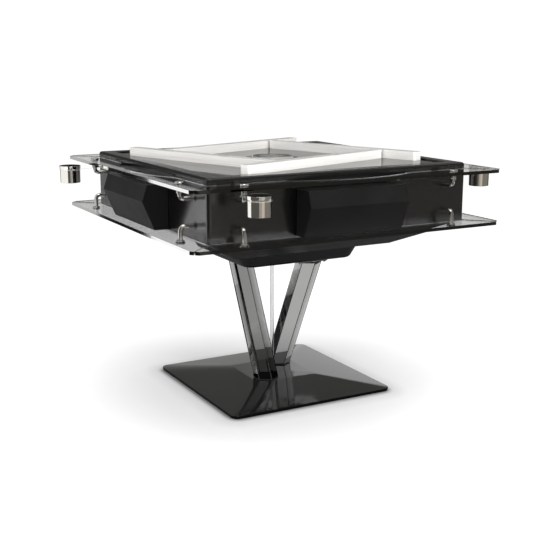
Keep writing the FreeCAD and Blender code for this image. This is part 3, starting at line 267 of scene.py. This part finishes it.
def lathe(mesh, profile, centre=(0, 0), turns=72, closed=False):
    """Turn (radius, height) pairs about an upright axis."""
    rings = []
    for radius, height in profile:
        count = 1 if radius < POINT_RADIUS else turns
        ring = []
        for index in range(count):
            angle = 2 * math.pi * index / turns
            ring.append(mesh.verts.new((centre[0] + radius * math.cos(angle),
                                        centre[1] + radius * math.sin(angle), height)))
        rings.append(ring)
    pairs = list(zip(rings, rings[1:]))
    if closed:
        pairs.append((rings[-1], rings[0]))
    for low, high in pairs:
        for index in range(turns):
            after = index + 1
            corners = [low[index % len(low)], low[after % len(low)],
                       high[after % len(high)], high[index % len(high)]]
            corners = list(dict.fromkeys(corners))
            if len(corners) > 2:
                mesh.faces.new(corners)


def tube(mesh, path, radius, turns=28):
    """Sweep a circle along a flat path in the plane X = constant, and close its ends."""
    rings = []
    for index, point in enumerate(path):
        before = path[max(index - 1, 0)]
        after = path[min(index + 1, len(path) - 1)]
        along = (after - before).normalized()
        across = Vector((1, 0, 0))
        outward = along.cross(across)
        rings.append([mesh.verts.new(point + radius * (math.cos(angle) * across + math.sin(angle) * outward))
                      for angle in (2 * math.pi * step / turns for step in range(turns))])
    for low, high in zip(rings, rings[1:]):
        for index in range(turns):
            after = (index + 1) % turns
            mesh.faces.new((low[index], low[after], high[after], high[index]))
    mesh.faces.new(rings[0])
    mesh.faces.new(rings[-1])


def turned_copies(mesh, build):
    """Build a form once for each side of the table."""
    for index in range(len(SIDES)):
        before = set(mesh.verts)
        build(mesh)
        fresh = [vert for vert in mesh.verts if vert not in before]
        bmesh.ops.transform(mesh, matrix=quarter_turn(index), verts=fresh)


# Material helpers

def grey(value):
    """An opaque colour with three equal channels."""
    return (value, value, value, 1)


def shader_of(material):
    """The Principled shader of a material."""
    return material.node_tree.nodes["Principled BSDF"]


def new_material(name, color, roughness, metallic=0.0, specular=0.5):
    """A Principled material with its constant values on the shader's own sockets."""
    made = bpy.data.materials.new(name)
    made.use_nodes = True
    shader = shader_of(made)
    shader.inputs["Base Color"].default_value = (*color, 1)
    shader.inputs["Roughness"].default_value = roughness
    shader.inputs["Metallic"].default_value = metallic
    shader.inputs["Specular IOR Level"].default_value = specular
    return made


def add(material, kind, **values):
    """A node with its input values, named with underscores for spaces."""
    node = material.node_tree.nodes.new("ShaderNode" + kind)
    for name, value in values.items():
        node.inputs[name.replace("_", " ")].default_value = value
    return node


def noise(material, scale, detail=3.0, stretch=(1, 1, 1)):
    """Noise in the object's own coordinates, stretched along its axes."""
    links = material.node_tree.links
    place = add(material, "TexCoord")
    mapping = add(material, "Mapping", Scale=stretch)
    texture = add(material, "TexNoise", Scale=scale, Detail=detail)
    links.new(place.outputs["Object"], mapping.inputs["Vector"])
    links.new(mapping.outputs["Vector"], texture.inputs["Vector"])
    return texture.outputs["Fac"]


def vary_roughness(material, factor, low, high):
    """Let the roughness wander between two values."""
    reach = add(material, "MapRange", To_Min=low, To_Max=high, From_Min=NOISE_SPAN[0], From_Max=NOISE_SPAN[1])
    material.node_tree.links.new(factor, reach.inputs["Value"])
    material.node_tree.links.new(reach.outputs["Result"], shader_of(material).inputs["Roughness"])


def ramp(material, factor, stops):
    """A colour ramp through (position, colour) stops, driven by a factor."""
    node = material.node_tree.nodes.new("ShaderNodeValToRGB")
    elements = node.color_ramp.elements
    elements[0].position = stops[0][0]
    elements[1].position = stops[-1][0]
    for stop in stops[1:-1]:
        elements.new(stop[0])
    for element, stop in zip(elements, stops):
        element.color = stop[1]
    material.node_tree.links.new(factor, node.inputs["Fac"])
    return node.outputs["Color"]


def vary_color(material, factor, first, second):
    """Let the colour wander between two values."""
    color = ramp(material, factor, ((CLOUD_SPAN[0], (*first, 1)), (CLOUD_SPAN[1], (*second, 1))))
    material.node_tree.links.new(color, shader_of(material).inputs["Base Color"])


def bump(material, factor, strength, distance=0.1 * MM):
    """A fine relief from a texture."""
    node = add(material, "Bump", Strength=strength, Distance=distance)
    material.node_tree.links.new(factor, node.inputs["Height"])
    material.node_tree.links.new(node.outputs["Normal"], shader_of(material).inputs["Normal"])


def moulded(name, color, roughness, specular=0.5, spread=0.05):
    """Moulded or painted surface: faint cloudiness in colour and gloss, and a fine skin."""
    made = new_material(name, color, roughness, specular=specular)
    lighter = tuple(min(1.0, value * CLOUD_LIGHTER) for value in color)
    darker = tuple(value * CLOUD_DARKER for value in color)
    vary_color(made, noise(made, CLOUD_SCALE), darker, lighter)
    vary_roughness(made, noise(made, GLOSS_SCALE, 4.0), roughness - spread / 3, roughness + spread / 3)
    bump(made, noise(made, SKIN_SCALE, 2.0), SKIN_RELIEF)
    return made


def metal(name, color, roughness, stretch=(1, 1, 1), spread=0.03, scale=60.0, relief=0.02):
    """Metal with polishing marks that run along the long axis of the stretch."""
    made = new_material(name, color, roughness, metallic=1.0)
    marks = noise(made, scale, 4.0, stretch)
    vary_roughness(made, marks, max(roughness - spread, 0.01), roughness + spread)
    bump(made, marks, relief)
    return made


def clear(name, color, ior=1.5, depth=0.0):
    """Solid clear glass or acrylic with a barely uneven polish; depth is how fast it darkens inside."""
    made = new_material(name, color, 0.0)
    shader_of(made).inputs["Transmission Weight"].default_value = 1.0
    shader_of(made).inputs["IOR"].default_value = ior
    bump(made, noise(made, POLISH_SCALE, 2.0), POLISH_RELIEF, POLISH_DEPTH)
    if depth:
        inside = add(made, "VolumeAbsorption", Color=INSIDE_COLOR, Density=depth)
        made.node_tree.links.new(inside.outputs[0], made.node_tree.nodes["Material Output"].inputs["Volume"])
    return made


def edge_material():
    """Polished glass edge: dark where it is faced, and a mirror at a low angle."""
    made = new_material("glass_edge", (0.3, 0.3, 0.3), 0.05, metallic=1.0)
    weight = add(made, "LayerWeight", Blend=0.5)
    color = ramp(made, weight.outputs["Facing"], EDGE_STOPS)
    made.node_tree.links.new(color, shader_of(made).inputs["Base Color"])
    vary_roughness(made, noise(made, 30.0, 3.0), 0.03, 0.07)
    bump(made, noise(made, 300.0, 2.0), 0.01)
    return made


# Materials

black_body = moulded("satin_black_body", (0.003, 0.003, 0.003), 0.2, specular=0.9)
shader_of(black_body).inputs["Coat Weight"].default_value = 0.35
shader_of(black_body).inputs["Coat Roughness"].default_value = 0.2
pan_black = moulded("satin_black_pan", (0.004, 0.004, 0.0038), 0.3, specular=0.3)
rim_black = moulded("satin_black_rim", (0.005, 0.005, 0.0048), 0.2, specular=0.5)
drawer_black = moulded("matt_black_drawer", (0.008, 0.008, 0.0078), 0.5, specular=0.1)
base_black = moulded("gloss_black_base", (0.012, 0.0115, 0.011), 0.06, specular=0.5, spread=0.02)
# Painted shade: a blacker copy of the base black for the plinth's upright faces and the under plate.
base_painted_shade = moulded("base_painted_shade", (0.002, 0.002, 0.002), 0.2, specular=0.15)
plate_black = moulded("painted_plate", (0.012, 0.012, 0.012), 0.35)
# Painted highlight: the under plate's upward faces are light grey, as a thin lit line.
plate_painted_highlight = moulded("under_plate", (0.3, 0.3, 0.29), 0.35)
pad_rubber = moulded("pad_rubber", (0.015, 0.015, 0.015), 0.75, specular=0.3)
washer_rubber = moulded("washer_rubber", (0.012, 0.012, 0.012), 0.55, specular=0.3)
black_glass = moulded("black_glass", (0.006, 0.006, 0.006), 0.05, specular=0.13, spread=0.02)
console_black = moulded("console_black", (0.007, 0.007, 0.007), 0.12, specular=0.5, spread=0.03)
console_silver = moulded("console_silver", (0.42, 0.415, 0.4), 0.3, specular=0.6)
inlet_black = moulded("inlet_black", (0.014, 0.014, 0.014), 0.5)
chassis_board = moulded("painted_board", (0.22, 0.22, 0.22), 0.5)
box_grey = moulded("box_grey", (0.16, 0.16, 0.17), 0.45)
motor_grey = moulded("motor_grey", (0.2, 0.2, 0.21), 0.4)
slide_plastic = moulded("slide_plastic", (0.6, 0.6, 0.58), 0.4)
tray_plastic = moulded("tray_plastic", (0.03, 0.03, 0.03), 0.45)
bowl_plastic = moulded("bowl_plastic", (0.14, 0.14, 0.14), 0.4)
roller_rubber = moulded("roller_rubber", (0.02, 0.02, 0.02), 0.7)
dice_white = moulded("dice_white", (0.8, 0.78, 0.72), 0.2)
chrome_rod = metal("chrome_rod", (0.52, 0.51, 0.49), 0.05, (1, 1, 6), spread=0.02)
chrome_button = metal("chrome_button", (0.85, 0.85, 0.85), 0.05)
cup_steel = metal("cup_steel", (0.86, 0.835, 0.79), 0.07, (1, 1, 30), spread=0.03, scale=50.0, relief=0.01)
# Painted shade: a dull near-black for the inside of the steel cups.
cup_inside_painted_shade = moulded("cup_inside_painted_shade", (0.012, 0.012, 0.011), 0.4, specular=0.2)
steel_plate = metal("steel_plate", (0.5, 0.5, 0.49), 0.25, (1, 30, 1), spread=0.08)
screw_steel = metal("screw_steel", (0.6, 0.6, 0.6), 0.15)
rail_aluminium = metal("rail_aluminium", (0.75, 0.75, 0.75), 0.3, (30, 1, 1), spread=0.08)
guide_bronze = metal("guide_bronze", (0.7, 0.5, 0.25), 0.3, (1, 1, 20), spread=0.08)
column_steel = metal("column_steel", (0.6, 0.6, 0.6), 0.2, (1, 1, 30))
crystal = clear("crystal", (0.93, 0.93, 0.925), depth=42.0)
crystal_rear = clear("crystal_rear", (0.95, 0.95, 0.945), depth=26.0)
# Painted shade: an opaque near-black on the crystal legs' bevelled edges, where the glass looks dark.
crystal_edge_painted_shade = moulded("crystal_edge_painted_shade", (0.03, 0.03, 0.03), 0.1, specular=0.3)
shelf_glass = clear("shelf_glass", (0.99, 0.992, 0.99), ior=1.33)
lower_glass = clear("lower_glass", (0.64, 0.642, 0.64), ior=1.22)
glass_edge = edge_material()
clear_tube = clear("clear_tube", (0.9, 0.9, 0.9), ior=1.49, depth=150.0)
clear_acrylic = moulded("clear_acrylic", (0.8, 0.8, 0.8), 0.1, specular=0.3)
shader_of(clear_acrylic).inputs["Alpha"].default_value = 0.1
window_glass = clear("window_glass", (0.96, 0.96, 0.96), ior=1.3)


def tile_material():
    """White moulded tiles pushed together: faint level streaks and a soft sheen."""
    made = new_material("tile_white", (0.86, 0.845, 0.815), 0.32, specular=0.4)
    streaks = noise(made, 5.0, 4.0, (1, 1, 60))
    vary_color(made, streaks, (0.80, 0.785, 0.755), (0.90, 0.885, 0.86))
    vary_roughness(made, streaks, 0.24, 0.42)
    bump(made, noise(made, 1200.0, 2.0), 0.05)
    return made


tile_white = tile_material()


# Pieces of the table itself

def plain_nodes():
    """CAD nodes whose form is right: they get rounded edges and their own material."""
    for node, slot, material, bevel in (
            ("foot_pads", "pad_rubber", pad_rubber, 0.5 * MM),
            ("lower_tray", "black_body", black_body, 1.0 * MM),
            ("pan", "black_body", pan_black, 1.2 * MM),
            ("cabinet_shell", "black_body", black_body, 0.8 * MM),
            ("rim_frame", "black_body", rim_black, 0.5 * MM),
            ("playing_glass", "black_glass", black_glass, 0.3 * MM),
            ("power_inlet", "inlet_black", inlet_black, 0.8 * MM),
            ("leg_top_plates", "steel_plate", steel_plate, 0.6 * MM),
            ("leg_foot_plates", "steel_plate", plate_black, 0.4 * MM),
            ("leg_screws", "screw_steel", screw_steel, 0.5 * MM),
            ("control_box", "box_grey", box_grey, 0.8 * MM),
            ("chassis", "chassis_board", chassis_board, 0.6 * MM),
            ("drawer_runners", "slide_plastic", slide_plastic, 0.5 * MM),
            ("lift_guides", "guide_bronze", guide_bronze, 0.6 * MM),
            ("mixing_bowl", "bowl_plastic", bowl_plastic, 0.6 * MM),
            ("centre_column", "column_steel", column_steel, 0.5 * MM),
            ("drive_motor", "motor_grey", motor_grey, 0.8 * MM),
            ("cup_holders", "clear_acrylic", clear_acrylic, 0.4 * MM)):
        dressed(node, "table", material, bevel)
    plinth = dressed("base_plinth", "table", base_black, 0.8 * MM)
    # The plinth's upright faces get painted shade.
    second_material(plinth, base_painted_shade, lambda face: abs(face.normal.z) < BASE_RIM_SLOPE)
    under = dressed("base_under_plate", "table", base_painted_shade, 0.4 * MM)
    # The under plate's top faces get a painted highlight.
    second_material(under, plate_painted_highlight, lambda face: face.normal.z > TOP_SLOPE)
    dressed("mixing_turntable", "turntable", bowl_plastic, 0.8 * MM)
    dressed("drive_roller", "roller", roller_rubber, 0.5 * MM)
    for side in SIDES:
        dressed("tile_wall_" + side, "wall_" + side, tile_white, 0.8 * MM, 3)
        dressed("lift_rail_" + side, "wall_" + side, rail_aluminium, 0.4 * MM)
        dressed("drawer_face_" + side, "drawer_" + side, drawer_black, 0.7 * MM)
        dressed("drawer_tray_" + side, "drawer_" + side, tray_plastic, 0.6 * MM)


def rod_run(level, end):
    """A rod's centre line: out from the front wall, round a quarter bend and up or down."""
    rise = 1 if end > level else -1
    knee = Vector((0, -SIDE_FACE - ROD_REACH + ROD_BEND, level))
    centre = knee + Vector((0, 0, rise * ROD_BEND))
    points = [Vector((0, -SIDE_FACE, level)), Vector((0, -SIDE_FACE - ROD_STUB, level))]
    for step in range(BEND_STEPS + 1):
        angle = math.radians(90 * step / BEND_STEPS)
        points.append(centre + ROD_BEND * Vector((0, -math.sin(angle), -rise * math.cos(angle))))
    points.append(Vector((0, -SIDE_FACE - ROD_REACH, end - rise * ROD_END)))
    points.append(Vector((0, -SIDE_FACE - ROD_REACH, end)))
    return points


def rosette_spots(level):
    """The points where the rods meet the walls."""
    return [quarter_turn(index) @ Vector((across, -SIDE_FACE, level))
            for index in range(len(SIDES)) for across in ROD_PLACES]


def rods():
    """Bent rods with a black rosette at the wall."""
    glass_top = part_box("upper_shelves")[1][2]
    glass_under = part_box("lower_shelves")[0][2]
    for node, level, end in (("upper_rods", UPPER_ROD_LEVEL, glass_top),
                             ("lower_rods", LOWER_ROD_LEVEL, glass_under)):
        def side_rods(mesh):
            for across in ROD_PLACES:
                shift = Vector((across, 0, 0))
                tube(mesh, [point + shift for point in rod_run(level, end)], ROD_RADIUS)
                before = set(mesh.verts)
                profile = [(ROD_RADIUS, 0), (ROSETTE_RADIUS, 0), (ROSETTE_RADIUS, ROSETTE_DEPTH),
                           (ROD_RADIUS, ROSETTE_CROWN)]
                lathe(mesh, softened(profile, 0.8 * MM), turns=40, closed=True)
                fresh = [vert for vert in mesh.verts if vert not in before]
                lay = Matrix.Rotation(math.radians(90), 4, "X")
                onto_wall = Matrix.Translation((across, -SIDE_FACE, level)) @ lay
                bmesh.ops.transform(mesh, matrix=onto_wall, verts=fresh)

        spots = rosette_spots(level)

        def at_rosette(face):
            out = max(abs(face.center.x), abs(face.center.y)) - SIDE_FACE
            ring = min((face.center - spot).length for spot in spots)
            return out < ROSETTE_LIMIT and ring > ROSETTE_START

        mesh = bmesh.new()
        turned_copies(mesh, side_rods)
        made = piece(node + "_bent", mesh, "table", chrome_rod, (node,))
        second_material(true_faces(made), black_body, at_rosette)


def rod_fittings():
    """Collars, washers, caps and flanges that clamp the glass on the rods."""
    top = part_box("upper_shelves")[1][2]
    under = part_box("upper_shelves")[0][2]
    low_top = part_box("lower_shelves")[1][2]
    low_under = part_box("lower_shelves")[0][2]
    place = -SIDE_FACE - ROD_REACH
    bore = ROD_RADIUS + BORE_PLAY

    def at_rods(profiles):
        def build(mesh):
            for across in ROD_PLACES:
                for profile, closed in profiles:
                    lathe(mesh, profile, (across, place), 48, closed)
        mesh = bmesh.new()
        turned_copies(mesh, build)
        return mesh

    seat = under - WASHER_THICKNESS
    washer = [(bore, seat), (WASHER_RADIUS, seat), (WASHER_RADIUS, under), (bore, under)]
    true_faces(piece("washers", at_rods([(softened(washer + washer[:1], 0.7 * MM), True)]), "table",
                     washer_rubber, ("shelf_washers",)))
    collar = [(bore, seat - COLLAR_HEIGHT)]
    collar += [(radius, seat - depth) for radius, depth in COLLAR_OUTLINE]
    collar.append((bore, seat))
    true_faces(piece("collars", at_rods([(softened(collar + collar[:1], 0.5 * MM), True)]), "table",
                     chrome_rod, ("shelf_collars",)))
    flange = [(bore, low_top)]
    flange += [(radius, low_top + rise) for radius, rise in FLANGE_OUTLINE]
    flange.append((bore, low_top + FLANGE_HEIGHT))
    true_faces(piece("flanges", at_rods([(softened(flange + flange[:1], 0.6 * MM), True)]), "table",
                     chrome_rod, ("shelf_flanges",)))
    caps = []
    for level, sign in ((top, 1), (low_under, -1)):
        cap = [(radius, level + sign * rise) for radius, rise in CAP_OUTLINE]
        caps.append((softened(cap, 0.5 * MM), False))
    true_faces(piece("caps", at_rods(caps), "table", chrome_rod, ("shelf_caps",)))


def box_centre(low, high):
    """The middle of a box, seen from above."""
    return ((low[0] + high[0]) / 2, (low[1] + high[1]) / 2)


def cups():
    """Spun steel cups with a rolled lip band, and painted shade over their inside."""
    for side in SIDES:
        low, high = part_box("cup_" + side)
        centre = box_centre(low, high)
        levels = {"foot": low[2], "top": high[2], "band": high[2] - CUP_BAND}
        profile = [(radius * MM, levels[start] + rise * MM) for radius, start, rise in CUP_OUTLINE]

        # Faces inside the cup, which get painted shade.
        def inside(face):
            place = face.center - Vector((*centre, 0))
            near = math.hypot(place.x, place.y) < CUP_LIP_RADIUS
            above = face.center.z > levels["foot"] + CUP_FLOOR
            return above and near and face.normal.xy.dot(place.xy) <= 0

        mesh = bmesh.new()
        lathe(mesh, softened(profile, 0.7 * MM), centre, 96)
        made = piece("cup_spun_" + side, mesh, "cup_body_" + side, cup_steel, ("cup_" + side,))
        second_material(true_faces(made), cup_inside_painted_shade, inside)


def plates():
    """Glass shelves with a polished arris all round."""
    for node, material in (("upper_shelves", shelf_glass), ("lower_shelves", lower_glass)):
        made = dressed(node, "table", material, 0.4 * MM, 1)
        second_material(made, glass_edge, lambda face: abs(face.normal.z) < GLASS_RIM_SLOPE)


def legs():
    """Crystal prisms with narrow polished edges drawn in painted shade, and the clear tube between them."""
    for node, material in (("front_crystal_leg", crystal), ("rear_crystal_leg", crystal_rear)):
        made = dressed(node, "table", material, LEG_EDGE, 1)
        made.data.materials.append(crystal_edge_painted_shade)
        made.modifiers["edges"].material = 1
    low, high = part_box("cable_tube")
    outer = (high[0] - low[0]) / 2
    inner = outer - TUBE_WALL
    mesh = bmesh.new()
    wall = [(inner, low[2]), (outer, low[2]), (outer, high[2]), (inner, high[2])]
    lathe(mesh, wall, turns=48, closed=True)
    true_faces(piece("tube_between_legs", mesh, "table", clear_tube, ("cable_tube",)))


def console():
    """The centre console with its window, dice and buttons."""
    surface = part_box("playing_glass")[1][2]
    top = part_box("console_body")[1][2]

    def at_silver(face):
        return face.center.xy.length > SILVER_RADIUS and face.center.z > surface + SILVER_HEIGHT

    made = dressed("console_body", "console", console_black, 0.5 * MM)
    second_material(made, console_silver, at_silver)
    mesh = bmesh.new()
    window = [(0, top - WINDOW_UNDER_DEPTH), (WINDOW_RADIUS, top - WINDOW_UNDER_DEPTH),
              (WINDOW_RADIUS, top - WINDOW_TOP_DEPTH), (0, top - WINDOW_TOP_DEPTH)]
    lathe(mesh, softened(window, 0.6 * MM), turns=96)
    true_faces(piece("window_disc", mesh, "console", window_glass, ("console_window",)))
    dressed("dice", "console", dice_white, 1.0 * MM, 3)
    for side in SIDES:
        low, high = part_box("button_" + side)
        profile = [(0, low[2]), (BUTTON_RADIUS, low[2]), (BUTTON_RADIUS, high[2] - BUTTON_EDGE),
                   (BUTTON_TOP_RADIUS, high[2]), (0, high[2] - BUTTON_DISH)]
        mesh = bmesh.new()
        lathe(mesh, softened(profile, 0.5 * MM), box_centre(low, high), 48)
        true_faces(piece("button_cap_" + side, mesh, "button_body_" + side, chrome_button,
                         ("button_" + side,)))


# Camera, floor and light

def camera():
    """The photograph's viewpoint: beyond the front left corner, pitched down a little."""
    data = bpy.data.cameras.new("camera")
    data.lens = CAMERA_LENS
    data.sensor_width = CAMERA_FILM
    data.clip_end = CAMERA_FAR
    made = bpy.data.objects.new("camera", data)
    made.location = CAMERA_PLACE
    made.rotation_euler = (math.radians(90 - CAMERA_PITCH), 0, math.radians(CAMERA_TURN))
    bpy.context.scene.collection.objects.link(made)
    bpy.context.scene.camera = made


def seen_directly(tree):
    """One for camera, mirror and see-through rays, which all show the white background."""
    path = tree.nodes.new("ShaderNodeLightPath")
    first = tree.nodes.new("ShaderNodeMath")
    first.operation = "MAXIMUM"
    second = tree.nodes.new("ShaderNodeMath")
    second.operation = "MAXIMUM"
    tree.links.new(path.outputs["Is Camera Ray"], first.inputs[0])
    tree.links.new(path.outputs["Is Glossy Ray"], first.inputs[1])
    tree.links.new(first.outputs["Value"], second.inputs[0])
    tree.links.new(path.outputs["Is Transmission Ray"], second.inputs[1])
    return second.outputs["Value"]


def painted_base_shadow(material, place):
    """A painted contact shadow: a factor on the floor's glow that falls off close to the square base and
    under it.
    """
    links = material.node_tree.links
    core = (PAINTED_SHADOW_CORE, PAINTED_SHADOW_CORE, 0.0)
    steps = (("ABSOLUTE", None), ("SUBTRACT", core), ("MAXIMUM", (0.0, 0.0, 0.0)))
    source = place.outputs["Object"]
    for operation, value in steps:
        step = add(material, "VectorMath")
        step.operation = operation
        links.new(source, step.inputs[0])
        if value is not None:
            step.inputs[1].default_value = value
        source = step.outputs["Vector"]
    far = add(material, "VectorMath")
    far.operation = "LENGTH"
    links.new(source, far.inputs[0])
    reach = add(material, "MapRange", From_Min=0.0, From_Max=PAINTED_SHADOW_REACH, To_Min=0.0, To_Max=1.0)
    links.new(far.outputs["Value"], reach.inputs["Value"])
    stops = [(position, grey(value)) for position, value in PAINTED_SHADOW_STOPS]
    return ramp(material, reach.outputs["Result"], stops)


def floor():
    """A white floor that keeps the lamps' shadow, with a painted shadow in its glow round the table."""
    data = bpy.data.meshes.new("floor")
    half = FLOOR_HALF
    corners = [(-half, -half, 0), (half, -half, 0), (half, half, 0), (-half, half, 0)]
    data.from_pydata(corners, [], [(0, 1, 2, 3)])
    made = bpy.data.objects.new("floor", data)
    white = bpy.data.materials.new("floor_white")
    white.use_nodes = True
    tree = white.node_tree
    tree.nodes.remove(tree.nodes["Principled BSDF"])
    plain = add(white, "BsdfDiffuse", Color=grey(FLOOR_BOUNCE))
    paper = add(white, "BsdfDiffuse", Color=grey(FLOOR_PAPER))
    glow = add(white, "Emission", Color=grey(1))
    place = add(white, "TexCoord")
    away = add(white, "VectorMath")
    away.operation = "DISTANCE"
    away.inputs[1].default_value = SHADE_CENTRE
    # Painted shadow: the glow is lower close to the table.
    painted_shadow_fade = add(white, "MapRange", From_Min=PAINTED_SHADOW_FADE[0], From_Max=PAINTED_SHADOW_FADE[1],
               To_Min=FLOOR_GLOW[0], To_Max=FLOOR_GLOW[1])
    painted_shadow_fade.interpolation_type = "SMOOTHSTEP"
    near = add(white, "Math")
    near.operation = "MULTIPLY"
    tree.links.new(place.outputs["Object"], away.inputs[0])
    tree.links.new(away.outputs["Value"], painted_shadow_fade.inputs["Value"])
    tree.links.new(painted_shadow_fade.outputs["Result"], near.inputs[0])
    # Painted contact shadow: the glow falls off round the base.
    tree.links.new(painted_base_shadow(white, place), near.inputs[1])
    tree.links.new(near.outputs["Value"], glow.inputs["Strength"])
    both = add(white, "AddShader")
    mix = add(white, "MixShader")
    tree.links.new(paper.outputs[0], both.inputs[0])
    tree.links.new(glow.outputs[0], both.inputs[1])
    tree.links.new(seen_directly(tree), mix.inputs[0])
    tree.links.new(plain.outputs[0], mix.inputs[1])
    tree.links.new(both.outputs[0], mix.inputs[2])
    tree.links.new(mix.outputs[0], tree.nodes["Material Output"].inputs["Surface"])
    data.materials.append(white)
    bpy.context.scene.collection.objects.link(made)


def world():
    """Even surroundings, seen as white."""
    made = bpy.data.worlds.new("studio")
    made.use_nodes = True
    tree = made.node_tree
    fill = tree.nodes["Background"]
    fill.inputs["Color"].default_value = grey(1)
    fill.inputs["Strength"].default_value = WORLD_FILL
    white = tree.nodes.new("ShaderNodeBackground")
    white.inputs["Color"].default_value = grey(1)
    white.inputs["Strength"].default_value = 1.0
    mix = tree.nodes.new("ShaderNodeMixShader")
    tree.links.new(seen_directly(tree), mix.inputs[0])
    tree.links.new(fill.outputs[0], mix.inputs[1])
    tree.links.new(white.outputs[0], mix.inputs[2])
    tree.links.new(mix.outputs[0], tree.nodes["World Output"].inputs["Surface"])
    bpy.context.scene.world = made


def upright(ends, low, high):
    """The corners of an upright card between two floor points."""
    (x0, y0), (x1, y1) = ends
    return [(x0, y0, low), (x1, y1, low), (x1, y1, high), (x0, y0, high)]


def card(name, corners, value):
    """A studio card that is seen only in mirror reflections."""
    data = bpy.data.meshes.new(name)
    data.from_pydata(corners, [], [(0, 1, 2, 3)])
    paper = bpy.data.materials.new(name)
    paper.use_nodes = True
    tree = paper.node_tree
    tree.nodes.remove(tree.nodes["Principled BSDF"])
    glow = add(paper, "Emission", Color=(*value, 1), Strength=1.0)
    tree.links.new(glow.outputs[0], tree.nodes["Material Output"].inputs["Surface"])
    data.materials.append(paper)
    made = bpy.data.objects.new(name, data)
    made.visible_camera = False
    made.visible_diffuse = False
    made.visible_transmission = False
    made.visible_shadow = False
    bpy.context.scene.collection.objects.link(made)


def lamp(name, location, size, power, mirrored):
    """A soft square lamp that faces the table."""
    data = bpy.data.lights.new(name, "AREA")
    data.shape = "SQUARE"
    data.size = size
    data.energy = power
    made = bpy.data.objects.new(name, data)
    made.location = location
    made.rotation_euler = (Vector(LAMP_TARGET) - Vector(location)).to_track_quat("-Z", "Y").to_euler()
    made.visible_camera = False
    made.visible_glossy = mirrored
    made.visible_transmission = mirrored
    bpy.context.scene.collection.objects.link(made)


plain_nodes()
rods()
rod_fittings()
cups()
plates()
legs()
console()
camera()
floor()
world()
for name, ends, low, high, value in CARDS:
    card(name, upright(ends, low, high), value)
# Painted shade: a grey sheet that mirrors show in place of the floor under and round the table.
card("floor_shade_card", FLOOR_SHADE_CARD, FLOOR_SHADE_CARD_VALUE)
for lamp_values in LAMPS:
    lamp(*lamp_values)

bpy.context.scene.view_settings.view_transform = "Standard"
